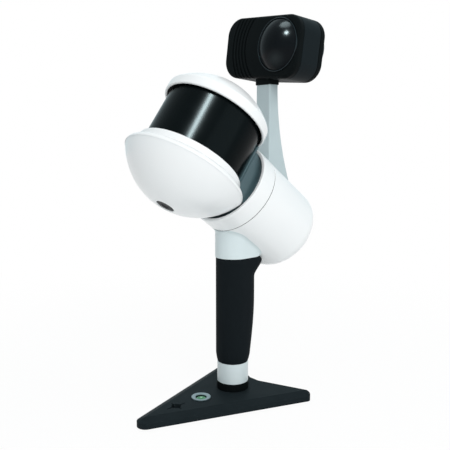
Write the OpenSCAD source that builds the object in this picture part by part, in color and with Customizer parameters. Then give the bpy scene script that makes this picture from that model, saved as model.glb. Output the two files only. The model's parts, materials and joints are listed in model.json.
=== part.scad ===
// Handheld laser scanner. A tilted motor housing on top of a grip spins a lidar head about
// its own axis, a panoramic camera stands behind it on a mast, and the whole instrument
// stands on an arrow-shaped base plate with a sight hole and a bubble level.
// Millimetres, +Z up, front towards -Y. The origin is on the handle axis at the plate's underside.

/* [Base plate] */
// Distance from the handle axis to the sharp apex of the arrow outline
plate_apex = 130; // [115:1:150]
// Half angle of the arrow outline at its apex, in degrees
plate_half_angle = 19.6; // [17:0.1:23]
// Half width of the arrow at its sharp rear corners
plate_half_width = 65; // [58:1:74]
// Distance from the handle axis back to the sharp bottom of the rear notch
plate_notch = 27.8; // [25:0.2:34]
// Half width of the short flat at the bottom of the rear notch
notch_flat = 6; // [3:0.5:10]
// Rounding of the plate's tip
plate_tip_r = 8.5; // [6:0.5:11]
// Rounding of the plate's rear corners
plate_corner_r = 4.5; // [3:0.5:8]
// Height of the plate's upright sides
plate_side_h = 5; // [4:0.2:6.5]
// Full thickness of the plate
plate_t = 8.6; // [7.6:0.2:11]
// Width of the sloped border along the plate's sides and round its tip
plate_slope_w = 8; // [5.5:0.5:8.2]
// Distance from the handle axis to the sight hole
sight_y = 71; // [64:1:80]
// Radius of the round middle of the sight hole
sight_r = 4.6; // [3.5:0.1:6]
// Reach of the sight hole's long marks along the plate
sight_long = 10.5; // [8:0.5:13]
// Reach of the sight hole's short marks across the plate
sight_short = 7.5; // [6.5:0.5:9]
// Width of a sight mark at its root
sight_mark_w = 3; // [2:0.2:4]
// Width of a sight mark at its end
sight_end_w = 1; // [0.6:0.1:1.6]
// Distance from the handle axis to the bubble level
level_y = 41; // [36:0.5:46]
// Outer radius of the bubble level's bezel
level_r = 9.3; // [8:0.1:11]
// Width of the bezel's visible ring
level_ring_w = 3.9; // [2.5:0.1:5]
// Height of the bezel above the plate
level_h = 1; // [0.6:0.1:1.6]
// Depth of the level's vial below the plate's top
vial_depth = 5; // [3:0.5:6.5]

/* [Handle] */
// Outer radius of the collar between plate and handle
collar_r = 15.9; // [14.5:0.1:19]
// Height of that collar
collar_h = 7.5; // [5:0.5:12]
// Outer radius of the pale ring under the grip
ring_r = 15.4; // [14.5:0.1:18]
// Height of that ring
ring_h = 20.2; // [14:0.2:28]
// Outer radius of the tube inside the handle
tube_r = 12; // [10:0.5:13]
// Wall of the tube inside the handle
tube_wall = 3.5; // [2.5:0.5:4]
// Length of the grip
grip_len = 105; // [95:1:125]
// Radius of the grip's round front
grip_r = 16.7; // [15.5:0.1:19]
// Radius of the grip at its foot
grip_foot_r = 15.2; // [14.5:0.1:17]
// How far the palm swell reaches back
grip_swell = 6; // [3:0.5:9]
// How far the tail at the grip's upper end reaches back
grip_tail = 16.5; // [13:0.5:18]
// Height of the tail's flare
grip_tail_h = 18; // [12:1:24]
// Height of the rounded foot of the grip
grip_foot_h = 11; // [6:1:16]
// Height of the rounded upper edge of the tail
grip_lip_h = 5; // [3:0.5:8]
// Radius of the stud that holds the plate to the handle
stud_r = 5; // [4.6:0.1:5.6]
// Length of that stud above its head
stud_len = 20; // [18:1:24]
// Radius of the tripod thread inside the stud
thread_r = 3.175; // [2.8:0.025:3.5]
// Depth of the tripod thread
thread_depth = 14; // [10:1:18]

/* [Motor housing] */
// Elevation of the motor axis, front upwards, in degrees
motor_tilt = 36; // [33:0.5:39]
// Distance of the axis reference point behind the handle axis
axis_back = 35.4; // [33:0.2:38]
// Height of the axis reference point above the grip
axis_rise = 41.4; // [39:0.2:46]
// Outer radius of the housing
housing_r = 42.5; // [41:0.5:46]
// Wall of the housing
housing_wall = 3.5; // [3:0.1:4.5]
// Length of the housing behind the reference point
housing_back = 45.5; // [44:0.5:52]
// Rounding of the housing's rear end
housing_round = 16; // [12:0.5:19]
// Length of the housing from the reference point to the rotor seam
seam_front = 34; // [33:0.5:36]
// Running gap at the rotor seam
seam_gap = 0.6; // [0.4:0.1:1.2]
// Radius of the neck between grip and housing
neck_r = 17.4; // [16.8:0.1:19]
// How far the neck reaches back
neck_back = 13; // [9:0.5:15]
// Radius of the power button
button_r = 5.5; // [4:0.1:6.5]
// Height of the power button above the housing
button_proud = 1.2; // [1.1:0.1:2]
// Travel of the power button
button_travel = 1; // [0.5:0.1:1]
// Distance of the button and of the cable socket from the middle of the housing's rear face
rear_fit_y = 14; // [13.5:0.1:16]
// Outer radius of the cable socket's flange
socket_r = 6.5; // [6:0.1:7.5]
// Radius of the cable socket's bore
socket_bore_r = 4; // [3:0.1:4.2]
// Depth of the cable socket's bore
socket_depth = 6.5; // [5:0.5:8]

/* [Motor] */
// Outer radius of the spindle
spindle_r = 8; // [7:0.5:9]
// Wire bore radius of the spindle
spindle_bore_r = 5; // [4:0.5:5.5]
// Outer radius of the spindle bearings
bearing_r = 14; // [12.5:0.5:15]
// Width of a spindle bearing
bearing_w = 8; // [6:0.5:10]
// Thickness of the motor plate's flange
motor_plate_t = 6; // [5:0.5:7]
// Outer radius of the motor plate's bearing tube
motor_hub_r = 18; // [17:0.5:19.5]
// Length of the bearing tube behind the flange
motor_hub_len = 24; // [22:1:25]
// Outer radius of the motor's stator
stator_r = 25.6; // [23:0.2:26]
// Length of the stator
stator_len = 14; // [10:1:16]
// Wall of the rotor bell
bell_wall = 2.4; // [1.8:0.2:3]
// Radius of the encoder disc
encoder_r = 20; // [16:0.5:24]

/* [Lidar head] */
// Distance of the lidar axis in front of the axis reference point
head_reach = 102; // [101.5:0.5:106]
// Length of the rotor ring in front of the seam
rotor_len = 18; // [16:0.5:19]
// Wall of the rotor ring
rotor_wall = 3.4; // [2.6:0.1:3.8]
// Clearance between the rotor ring and the bowl, the ring under the window and the cap
head_gap = 0.5; // [0.3:0.1:0.8]
// Thickness of the rotor ring's floor
rotor_floor = 4.2; // [4:0.1:5]
// Outer radius of the lidar window
window_r = 46.5; // [45:0.5:48]
// Wall of the lidar window
window_wall = 3; // [2:0.2:3.4]
// Height of the window that shows
window_show = 47.9; // [40:0.1:54]
// Distance of the window's lower edge below the motor axis
window_drop = 9.1; // [7:0.1:11]
// Outer radius of the ring under the window
neck_ring_r = 51; // [50.6:0.1:52]
// Height of the ring under the window
neck_ring_h = 8; // [7:0.5:10]
// Radius of the lower bowl at its rim
bowl_r = 58.6; // [56:0.1:59]
// Height of the lower bowl
bowl_h = 41.1; // [38:0.1:44]
// Rounding of the bowl's upper rim
bowl_rim_r = 5.7; // [4:0.1:6.5]
// Sphere radius of the bowl's underside and of the cap's top
dome_r = 65.5; // [64:0.1:70]
// Wall of the bowl and the cap
dome_wall = 3; // [2:0.2:4]
// Radius of the plug in the bowl's underside
plug_r = 8.6; // [6:0.2:11]
// Depth of the plug's face below the bowl's underside
plug_sink = 1.2; // [0.6:0.1:1.8]
// Radius of the top cap
cap_r = 51; // [50.6:0.1:53]
// Height of the top cap
cap_h = 33.2; // [31:0.2:40]
// Depth of the shadow groove round the window under the cap
cap_groove = 2.2; // [1.4:0.2:4]
// Half width of the spine that joins the ring and the cap
spine_half_w = 22; // [16:1:26]
// Half width of the web between the spine and the rotor ring
web_half_w = 18; // [14:1:20]
// Height of that web
web_h = 43; // [34:1:43]
// Radius of the lidar's spinning drum
drum_r = 38; // [34:0.5:39]
// Radius of the fixed pin that the drum spins on
drum_pin_r = 4; // [3:0.5:5]

/* [Mast and camera] */
// Height of the mast's top above the axis reference point
mast_rise = 125; // [118:0.5:140]
// Distance of the mast's front face behind the handle axis
mast_front = 39.5; // [38.5:0.5:41]
// Width of the mast
mast_w = 19; // [15:0.5:24]
// Depth of the mast at its top
mast_d = 11.8; // [10:0.2:15]
// Depth of the mast's foot
mast_foot_d = 30; // [26:1:34]
// Radius of the curve down the mast's rear edge
mast_flare_r = 266; // [240:2:320]
// Height of the collar on the mast
mast_collar_h = 4.8; // [4:0.2:8]
// Margin of that collar round the mast
mast_collar_rim = 1; // [0.5:0.1:2]
// Width of the camera
camera_w = 98.6; // [94:0.2:110]
// Height of the camera
camera_h = 59.2; // [56:0.1:66]
// Depth of the camera
camera_d = 39; // [36:0.5:46]
// Rounding of the camera's outline
camera_corner_r = 16.8; // [12:0.2:19]
// Distance of the camera's middle behind the handle axis
camera_back = 53.7; // [51.5:0.1:57]
// Backward lean of the camera, in degrees
camera_pitch = 3.9; // [0:0.1:5]
// Sideways lean of the camera, in degrees
camera_roll = 4.5; // [0:0.1:6]
// Thickness of the camera's front and rear shells
camera_shell_t = 7.5; // [6:0.1:8.4]
// Wall of the camera's middle body
camera_wall = 2.6; // [2:0.2:3.4]
// Radius of the vertical crown of the camera's front and rear
camera_crown_r = 275; // [200:5:400]
// Distance of the lenses from the camera's middle
lens_x = 22.6; // [19:0.1:23]
// Height of the lenses above the camera's middle
lens_z = 1.6; // [0:0.2:2]
// Outer radius of a lens ring
lens_ring_r = 24.7; // [22:0.1:25.2]
// Width of a lens ring
lens_ring_w = 1.4; // [0.8:0.1:2.4]
// Sphere radius of a lens dome
lens_dome_r = 38; // [34:0.5:50]
// Number of grip grooves on the camera's front, all round the lens axis
groove_count = 5; // [2:1:6]
// Spacing of the grooves
groove_pitch = 4.4; // [3.6:0.1:4.8]
// Width of a groove
groove_w = 1.7; // [1:0.1:2.4]
// Depth of a groove
groove_depth = 1.2; // [0.8:0.1:1.6]
// Distance from the camera's side to its first groove, level with the lens
groove_edge = 10.8; // [9:0.1:12]

/* [Fits and fasteners] */
// Clearance between parts that are assembled and stay still
fit = 0.1; // [0.05:0.01:0.2]
// Clearance of the running bearings
run_fit = 0.03; // [0.02:0.01:0.08]
// Clearance round the power button
button_fit = 0.3; // [0.2:0.05:0.5]
// Shank radius of the small screws
screw_r = 1.5; // [1.2:0.1:1.7]
// Head radius of the small screws
screw_head_r = 2.7; // [2.4:0.1:3]
// Head height of the small screws
screw_head_h = 1.8; // [1.4:0.1:2]
// Thickness of the circuit boards
board_t = 1.6; // [1:0.1:2]

/* [Hidden] */
$fn = 96;
hull_fn = 32;
eps = 0.01;
slice_t = 0.4;
far = 400;

WHITE = "whitesmoke";
BLACK = "#15191b";
SLATE = "#22292e";
GREY = "silver";

// Heights up the handle
collar_top = plate_t + collar_h;
grip_foot = collar_top + ring_h;
grip_top = grip_foot + grip_len;
axis_z = grip_top + axis_rise;
tube_socket = 13;
tube_top = grip_top + tube_socket;
plug_len = 24;
stud_head_r = stud_r + 3.5;
stud_head_h = plate_side_h - 0.4;
stud_top = stud_head_h + stud_len;
spanner_r = 0.9;
spanner_depth = 2;

// Plate outline: sharp corners first, then the tangent points of their roundings
plate_tip = [0, -plate_apex];
side_dir = [sin(plate_half_angle), cos(plate_half_angle)];
plate_corner = plate_tip + side_dir*plate_half_width/sin(plate_half_angle);
rear_run = [0, plate_notch] - plate_corner;
rear_dir = rear_run/norm(rear_run);
corner_half = acos(-side_dir*rear_dir)/2;
corner_bisector = (rear_dir - side_dir)/norm(rear_dir - side_dir);
corner_centre = plate_corner + corner_bisector*plate_corner_r/sin(corner_half);
corner_side_tangent = plate_corner - side_dir*plate_corner_r/tan(corner_half);
corner_rear_tangent = plate_corner + rear_dir*plate_corner_r/tan(corner_half);
tip_centre = [0, -plate_apex + plate_tip_r/sin(plate_half_angle)];
tip_tangent = plate_tip + side_dir*plate_tip_r/tan(plate_half_angle);
slope_angle = atan2(plate_t - plate_side_h, plate_slope_w);
side_heading = 90 - plate_half_angle;
tip_facets = 10;

// Stations along the motor axis, measured from its reference point
housing_front = seam_front - seam_gap/2;
rotor_back = seam_front + seam_gap/2;
rotor_face = rotor_back + rotor_floor;
rotor_front = seam_front + rotor_len;
housing_in_r = housing_r - housing_wall;
housing_in_back = housing_back - housing_wall;
housing_in_round = housing_round - housing_wall;
motor_plate_front = housing_front - 3.7;
motor_plate_back = motor_plate_front - motor_plate_t;
hub_back = motor_plate_back - motor_hub_len;
bearing_lip = 2;
bearing_front = motor_plate_front - bearing_lip;
stator_back = hub_back + 4;
bell_gap = 0.8;
bell_in_r = stator_r + bell_gap;
bell_r = bell_in_r + bell_wall;
bell_front = stator_back + stator_len;
bell_back = hub_back - 6;
bell_room = 1;
bell_floor = 3;
encoder_t = 1.2;
spindle_back = bell_back - encoder_t - 4;
flange_r = bearing_r;
flange_back = motor_plate_front + 1;
boss_r = 4.5;
boss_pos = housing_in_r - boss_r + 0.5;
boss_len = 20;
boss_count = 4;
boss_turn = 45;
plate_screw_bite = 10;
hole_spare = 2;

// Control board, switch and slip ring in the rear of the housing
board_stand = 13;
board_front = board_stand - housing_in_back;
board_back = board_front - board_t;
board_r = 31;
board_post_r = 3.5;
board_post_pos = 25;
board_post_count = 3;
board_post_turn = 0;
board_hole_r = 10;
slip_r = 9.5;
slip_flange_r = 13;
slip_flange_t = 1.4;
slip_back = board_back - 3;
slip_front = spindle_back - 3;
slip_nose_r = spindle_bore_r - 0.5;
slip_nose = spindle_back + 7;
button_flange_r = button_r + 1.2;
button_flange_t = 1.2;
button_clear = 0.2;
button_flange_back = -housing_in_back + button_clear;
button_stem = button_flange_back + button_flange_t;
switch_r = 2.2;
switch_tip = button_stem + button_travel + 0.3;
socket_flange_t = 1.5;
socket_barrel_r = socket_r - 1;
socket_back = -housing_back - socket_flange_t;
socket_end = socket_back + socket_depth + 1.5;
light_r = 1.5;
light_x = 12;

// Stations along the lidar axis, measured from the motor axis
neck_top = -window_drop;
neck_bottom = neck_top - neck_ring_h;
ledge_t = 3;
window_foot = neck_bottom + ledge_t;
cap_bottom = neck_top + window_show;
cap_top = cap_bottom + cap_h;
gasket_bottom = cap_bottom + cap_groove;
gasket_t = 2;
window_top = gasket_bottom + gasket_t;
window_in_r = window_r - window_wall;
cap_hole_r = window_r + 2;
cap_roof = window_top + 3;
bowl_top = neck_bottom;
bowl_pole = bowl_top - bowl_h;
bowl_centre = bowl_pole + dome_r;
cap_centre = cap_top - dome_r;
bowl_in_r = bowl_r - dome_wall;
ledge_in_r = window_in_r - 3.5;
shadow_step = 2;
spine_in_r = window_r + 1;
spine_out_r = neck_ring_r - fit;
web_front = spine_in_r + 1.5;
web_back = head_reach - rotor_face;
web_bottom = neck_top;
base_t = 4;
base_top = window_foot + base_t;
base_r = window_in_r - 2*fit;
drum_gap = 3;
drum_bottom = base_top + drum_gap;
drum_top = cap_bottom - drum_gap;
pin_top = drum_top + drum_gap;
bush_wall = 3;
drum_flat = drum_r - 4;
lens_disc_r = 8;
lens_disc_t = 3;
lens_disc_x = 10;
lidar_post_r = 3;
lidar_post_pos = 33;
lidar_post_count = 3;
lidar_board_top = bowl_top - 6;
lidar_board_r = 38;
plug_t = 4;
bowl_boss_r = 4;
bowl_screw_pos = window_r - window_wall/2;
bowl_screw_count = 4;
bowl_screw_len = 8;

// Mast and camera
mast_top = axis_z + mast_rise;
mast_seat = 0.1;
camera_z = mast_top + mast_collar_h + camera_h/2;
shell_front = -camera_d/2 + camera_shell_t;
seam_step = 0.8;
lens_rim_proud = 0.6;
lens_glass_r = lens_ring_r - lens_ring_w - fit;
lens_sag = lens_dome_r - sqrt(lens_dome_r*lens_dome_r - lens_glass_r*lens_glass_r);
lens_seat = -camera_d/2 + 0.4;
lens_height = shell_front - lens_seat + lens_sag;
groove_r = lens_x + camera_w/2 - groove_edge;
web_t = 2.4;
web_y = 3;
camera_post_r = 2.6;
camera_post_inset = 12;
camera_post_x = camera_w/2 - camera_wall - camera_post_inset;
camera_post_z = camera_h/2 - camera_wall - camera_post_inset;
camera_post_len = 4;
camera_post_spare = 1;
camera_board_edge = 4;
camera_board_front = web_y - camera_post_len - board_t;
camera_screw_r = 3.175;
camera_screw_up = 6;
camera_screw_down = 14;
camera_screw_mid = (camera_h + camera_screw_down)/2;
camera_screw_y = (mast_front + mast_d/2 - camera_back + camera_screw_mid*sin(camera_pitch))/cos(camera_pitch);
camera_boss = 8;

// Frames: the motor axis is local Z in the first, the lidar axis in the second
module at_motor() {
  translate([0, axis_back, axis_z]) rotate([90 - motor_tilt, 0, 0]) children();
}

module at_lidar() {
  at_motor() translate([0, 0, head_reach]) rotate([-90, 0, 0]) children();
}

module at_camera() {
  translate([0, camera_back, camera_z]) rotate([-camera_pitch, camera_roll, 0]) children();
}

// A round bar between two heights
module bar(r, low, high) {
  translate([0, 0, low]) cylinder(r = r, h = high - low);
}

module tube(r, bore, low, high) {
  difference() {
    bar(r, low, high);
    bar(bore, low - 1, high + 1);
  }
}

// Copies round the local Z axis
module round_array(count, pos, turn = 0) {
  for (i = [0:count - 1]) rotate(turn + i*360/count) translate([pos, 0, 0]) children();
}

// A pan-head screw whose head sits on the height "seat" and whose shank runs "len" below it
module screw(seat, len) {
  bar(screw_r, seat - len, seat);
  bar(screw_head_r, seat, seat + screw_head_h);
}

module screw_hole(seat, len) {
  bar(screw_r + fit, seat - len - 0.5, seat + eps);
}

// Two round ends, the second one moved back
module stadium(r, back) {
  circle(r = r);
  translate([0, back]) circle(r = r);
  if (back > 0) translate([-r, 0]) square([2*r, back]);
}

// Base plate
module plate_outline() {
  notch = [notch_flat, plate_notch + (plate_corner[1] - plate_notch)*notch_flat/plate_half_width];
  polygon([
    [-tip_tangent[0], tip_tangent[1]], tip_tangent, corner_side_tangent, corner_centre,
    corner_rear_tangent, notch, [-notch[0], notch[1]], [-corner_rear_tangent[0], corner_rear_tangent[1]],
    [-corner_centre[0], corner_centre[1]], [-corner_side_tangent[0], corner_side_tangent[1]]
  ]);
  translate(tip_centre) circle(r = plate_tip_r);
  for (side = [-1, 1]) translate([side*corner_centre[0], corner_centre[1]]) circle(r = plate_corner_r);
}

// Everything above a slope that rises inwards from an edge through "point" along "heading"
module slope_cut(point, heading) {
  translate([point[0], point[1], plate_side_h]) rotate(heading) rotate([slope_angle, 0, 0])
    translate([-far, -far, 0]) cube([2*far, 2*far, far]);
}

module sight_hole() {
  circle(r = sight_r);
  for (turn = [0:90:270]) {
    reach = turn % 180 == 0 ? sight_long : sight_short;
    rotate(turn) polygon([
      [-sight_mark_w/2, 0], [sight_mark_w/2, 0], [sight_end_w/2, reach], [-sight_end_w/2, reach]
    ]);
  }
}

module base_plate() {
  color(SLATE) difference() {
    linear_extrude(plate_t) plate_outline();
    for (i = [0:tip_facets]) {
      turn = side_heading*(2*i/tip_facets - 1);
      slope_cut(tip_centre + plate_tip_r*[sin(turn), -cos(turn)], turn);
    }
    translate([0, -sight_y, -1]) linear_extrude(plate_t + 2) sight_hole();
    translate([0, -level_y, 0]) bar(level_r - 1, plate_t - vial_depth, plate_t + 1);
    bar(stud_r + fit, -1, plate_t + 1);
    bar(stud_head_r + fit, -1, stud_head_h);
  }
}

module level_bezel() {
  color(GREY) translate([0, -level_y, 0]) tube(level_r, level_r - level_ring_w, plate_t, plate_t + level_h);
}

module level_vial() {
  color("yellowgreen") translate([0, -level_y, 0]) bar(level_r - 1 - fit, plate_t - vial_depth, plate_t);
}

// Handle
module plate_collar() {
  color(BLACK) tube(collar_r, tube_r + fit, plate_t, collar_top);
}

module base_stud() {
  color(GREY) difference() {
    union() {
      bar(stud_head_r, 0, stud_head_h);
      bar(stud_r, stud_head_h - eps, stud_top);
    }
    bar(thread_r, -1, thread_depth);
    for (side = [-1, 1]) translate([side*(stud_r + stud_head_r)/2, 0, 0]) bar(spanner_r, -1, spanner_depth);
  }
}

module tube_plug() {
  color(GREY) difference() {
    bar(tube_r - tube_wall - fit, plate_t, plate_t + plug_len);
    bar(stud_r + fit, plate_t - 1, stud_top + 1);
  }
}

module handle_ring() {
  color(WHITE) tube(ring_r, tube_r + fit, collar_top, grip_foot);
}

module handle_tube() {
  color(GREY) tube(tube_r, tube_r - tube_wall, plate_t, tube_top);
}

module grip_slice(z, r, back) {
  translate([0, 0, z]) linear_extrude(slice_t) stadium(r, back, $fn = hull_fn);
}

// A length of the grip between two heights, each with its radius and its reach back
module grip_part(z1, r1, back1, z2, r2, back2) {
  hull() {
    grip_slice(z1, r1, back1);
    grip_slice(z2 - slice_t, r2, back2);
  }
}

module grip_sleeve() {
  low_swell = 0.15*grip_swell;
  swell_z = grip_foot + 0.62*grip_len;
  tail_z = grip_top - grip_tail_h;
  lip_z = grip_top - grip_lip_h;
  color(BLACK) difference() {
    union() {
      grip_part(grip_foot, grip_foot_r, 0, grip_foot + grip_foot_h, grip_r, low_swell);
      grip_part(grip_foot + grip_foot_h, grip_r, low_swell, swell_z, grip_r, grip_swell);
      grip_part(swell_z, grip_r, grip_swell, tail_z, grip_r, grip_swell);
      grip_part(tail_z, grip_r, grip_swell, lip_z, grip_r, grip_tail);
      grip_part(lip_z, grip_r, grip_tail, grip_top, grip_r, neck_back);
    }
    bar(tube_r + fit, grip_foot - 1, grip_top + 1);
    at_motor() bar(housing_r + 3*fit, -far, far);
  }
}

// Motor housing
module housing_profile(r, back, front, round_r) {
  translate([0, round_r - back]) square([r, back + front - round_r]);
  translate([0, -back]) square([r - round_r, back + front]);
  intersection() {
    translate([r - round_r, round_r - back]) circle(r = round_r);
    translate([0, -back]) square([r, back + front]);
  }
}

module housing_cavity() {
  rotate_extrude() housing_profile(housing_in_r, housing_in_back, housing_front + 1, housing_in_round);
}

module neck_column() {
  intersection() {
    translate([0, 0, grip_top]) linear_extrude(axis_rise) stadium(neck_r, neck_back);
    at_motor() bar(2*far, -far, housing_front);
  }
}

module housing_shell() {
  color(WHITE) difference() {
    union() {
      difference() {
        union() {
          at_motor() rotate_extrude() housing_profile(housing_r, housing_back, housing_front, housing_round);
          neck_column();
        }
        at_motor() housing_cavity();
      }
      at_motor() intersection() {
        rotate_extrude() housing_profile(housing_r - 1, housing_back - 1, housing_front, housing_round - 1);
        union() {
          difference() {
            round_array(boss_count, boss_pos, boss_turn)
              bar(boss_r, motor_plate_back - boss_len, motor_plate_back);
            bar(bell_r + bell_room, bell_back - bell_room, bell_front + bell_room);
          }
          round_array(board_post_count, board_post_pos, board_post_turn)
            bar(board_post_r, -housing_back, board_back);
        }
      }
    }
    bar(tube_r + fit, grip_top - 1, tube_top);
    bar(tube_r - tube_wall - 2, grip_top, axis_z - 12);
    at_motor() {
      round_array(boss_count, boss_pos, boss_turn) screw_hole(motor_plate_back, plate_screw_bite + hole_spare);
      round_array(board_post_count, board_post_pos, board_post_turn) screw_hole(board_back, 7);
      translate([0, rear_fit_y, 0]) bar(button_r + button_fit, -housing_back - 1, -housing_in_back + 1);
      translate([0, -rear_fit_y, 0]) bar(socket_barrel_r + fit, -housing_back - 1, -housing_in_back + 1);
      translate([light_x, 0, 0]) bar(light_r + fit, -housing_back - 1, -housing_in_back + 1);
      mast_screw_places() {
        bar(screw_r + fit, 0, housing_r + 1);
        bar(screw_head_r + 0.5, 0, mast_screw_seat);
      }
    }
  }
}

module motor_plate() {
  color(GREY) at_motor() difference() {
    union() {
      bar(housing_in_r - fit, motor_plate_back, motor_plate_front);
      bar(motor_hub_r, hub_back, motor_plate_back);
    }
    bar(bearing_r, hub_back - 1, bearing_front);
    bar(spindle_r + 3, hub_back - 1, motor_plate_front + 1);
    round_array(boss_count, boss_pos, boss_turn) screw_hole(motor_plate_front, motor_plate_t);
  }
}

module plate_screws() {
  color(GREY) at_motor() round_array(boss_count, boss_pos, boss_turn)
    screw(motor_plate_front, motor_plate_t + plate_screw_bite);
}

module spindle_bearings() {
  color(GREY) at_motor() for (back = [bearing_front - bearing_w, hub_back + 2])
    tube(bearing_r - run_fit, spindle_r + run_fit, back, back + bearing_w);
}

module motor_stator() {
  color("peru") at_motor() tube(stator_r, motor_hub_r + run_fit, stator_back, stator_back + stator_len);
}

module slip_ring() {
  color(BLACK) at_motor() {
    bar(slip_r, slip_back, slip_front);
    bar(slip_flange_r, board_front, board_front + slip_flange_t);
    bar(slip_nose_r, slip_front - eps, slip_nose);
  }
}

module control_board() {
  color("darkgreen") at_motor() difference() {
    bar(board_r, board_back, board_front);
    bar(board_hole_r, board_back - 1, board_front + 1);
    round_array(board_post_count, board_post_pos, board_post_turn) screw_hole(board_front, board_t);
  }
}

module board_screws() {
  color(GREY) at_motor() round_array(board_post_count, board_post_pos, board_post_turn)
    screw(board_front, board_t + 5);
}

module power_button() {
  color(SLATE) at_motor() translate([0, rear_fit_y, 0]) {
    bar(button_r, -housing_back - button_proud, button_stem);
    bar(button_flange_r, button_flange_back, button_stem);
  }
}

module button_switch() {
  color(GREY) at_motor() translate([0, rear_fit_y, 0]) bar(switch_r, switch_tip, board_back);
}

module status_light() {
  color("deepskyblue") at_motor() translate([light_x, 0, 0]) bar(light_r, -housing_back - 0.4, -housing_in_back);
}

module cable_socket() {
  color(SLATE) at_motor() translate([0, -rear_fit_y, 0]) difference() {
    union() {
      bar(socket_r, socket_back, -housing_back);
      bar(socket_barrel_r, socket_back, socket_end);
    }
    bar(socket_bore_r, socket_back - 1, socket_back + socket_depth);
  }
}

// Mast and camera
module mast_side() {
  difference() {
    translate([mast_front, axis_z]) square([mast_foot_d, mast_rise]);
    translate([mast_front + mast_d + mast_flare_r, mast_top]) circle(r = mast_flare_r, $fn = 360);
  }
}

mast_screw_seat = housing_in_r + 0.4;
mast_screw_s = [4, 16];

module mast_screw_places() {
  for (s = mast_screw_s) translate([0, 0, s]) rotate([-90, 0, 0]) children();
}

module mast() {
  color(WHITE) difference() {
    translate([-mast_w/2, 0, 0]) rotate([90, 0, 90]) linear_extrude(mast_w) mast_side();
    at_motor() {
      bar(housing_r + mast_seat, -far, far);
      mast_screw_places() bar(screw_r + fit, 0, housing_r + 8.5);
    }
    at_camera() camera_screw_bore();
  }
}

module mast_screws() {
  color(GREY) at_motor() mast_screw_places() mirror([0, 0, 1]) screw(-mast_screw_seat, housing_wall + 7);
}

module camera_screw_bore() {
  translate([0, camera_screw_y, -camera_h/2]) bar(camera_screw_r + fit, -camera_screw_down - 1, camera_screw_up + 1);
}

module mast_collar() {
  color(BLACK) difference() {
    translate([-mast_w/2 - mast_collar_rim, mast_front - mast_collar_rim, mast_top])
      cube([mast_w + 2*mast_collar_rim, mast_d + 2*mast_collar_rim, 2*mast_collar_h]);
    at_camera() {
      translate([-far, -far, -camera_h/2]) cube([2*far, 2*far, far]);
      camera_screw_bore();
    }
  }
}

module camera_screw() {
  color(GREY) at_camera() translate([0, camera_screw_y, -camera_h/2])
    bar(camera_screw_r, -camera_screw_down, camera_screw_up);
}

module camera_outline(inset) {
  w = camera_w/2 - inset;
  h = camera_h/2 - inset;
  r = camera_corner_r - inset;
  translate([-w, -h + r]) square([2*w, 2*(h - r)]);
  translate([-w + r, -h]) square([2*(w - r), 2*h]);
  for (x = [-1, 1], z = [-1, 1]) translate([x*(w - r), z*(h - r)]) circle(r = r);
}

// A slab of a flat shape in the camera's X-Z plane, between two depths
module slab(from, to) {
  translate([0, to, 0]) rotate([90, 0, 0]) linear_extrude(to - from) children();
}

// A bar along the lens axis, between two depths
module lens_bar(r, from, to) {
  slab(from, to) translate([lens_x, lens_z]) circle(r = r);
}

module camera_end_shell() {
  difference() {
    intersection() {
      slab(-camera_d/2, shell_front) camera_outline(0);
      translate([0, camera_crown_r - camera_d/2, 0]) rotate([0, 90, 0])
        cylinder(r = camera_crown_r, h = 2*camera_w, center = true, $fn = 360);
    }
    lens_bar(lens_ring_r + fit, -camera_d, camera_d);
  }
}

module camera_front_shell() {
  color(BLACK) at_camera() difference() {
    camera_end_shell();
    difference() {
      for (i = [0:groove_count - 1]) difference() {
        lens_bar(groove_r - i*groove_pitch + groove_w/2, -camera_d, shell_front - 1);
        lens_bar(groove_r - i*groove_pitch - groove_w/2, -2*camera_d, camera_d);
      }
      translate([0, camera_crown_r - camera_d/2, 0]) rotate([0, 90, 0])
        cylinder(r = camera_crown_r - groove_depth, h = 2*camera_w, center = true, $fn = 360);
    }
  }
}

module camera_rear_shell() {
  color(BLACK) at_camera() mirror([0, 1, 0]) camera_end_shell();
}

module camera_body() {
  color(BLACK) at_camera() difference() {
    union() {
      difference() {
        union() {
          slab(shell_front, -shell_front) camera_outline(seam_step);
          slab(shell_front + seam_step, -shell_front - seam_step) camera_outline(0);
        }
        slab(-camera_d, camera_d) camera_outline(seam_step + camera_wall);
      }
      slab(web_y, web_y + web_t) camera_outline(camera_wall);
      for (x = [-1, 1], z = [-1, 1])
        slab(web_y - camera_post_len, web_y + eps) translate([x*camera_post_x, z*camera_post_z]) circle(r = camera_post_r);
      translate([-camera_boss, shell_front, -camera_h/2 + camera_wall])
        cube([2*camera_boss, camera_screw_y - shell_front + camera_boss, camera_screw_up]);
    }
    for (x = [-1, 1], z = [-1, 1])
      slab(web_y - camera_post_len - 1, web_y + 0.5) translate([x*camera_post_x, z*camera_post_z]) circle(r = screw_r + fit);
    camera_screw_bore();
  }
}

module lens_ring() {
  difference() {
    lens_bar(lens_ring_r, -camera_d/2 - lens_rim_proud, shell_front);
    lens_bar(lens_ring_r - lens_ring_w, -camera_d, camera_d);
  }
}

module front_lens_ring() {
  color(GREY) at_camera() lens_ring();
}

module rear_lens_ring() {
  color(GREY) at_camera() mirror([0, 1, 0]) lens_ring();
}

module lens() {
  translate([lens_x, shell_front, lens_z]) rotate([90, 0, 0]) rotate_extrude() intersection() {
    translate([0, lens_height - lens_dome_r]) circle(r = lens_dome_r);
    square([lens_glass_r, lens_height + 1]);
  }
}

module front_lens() {
  color(BLACK) at_camera() lens();
}

module rear_lens() {
  color(BLACK) at_camera() mirror([0, 1, 0]) lens();
}

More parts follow.
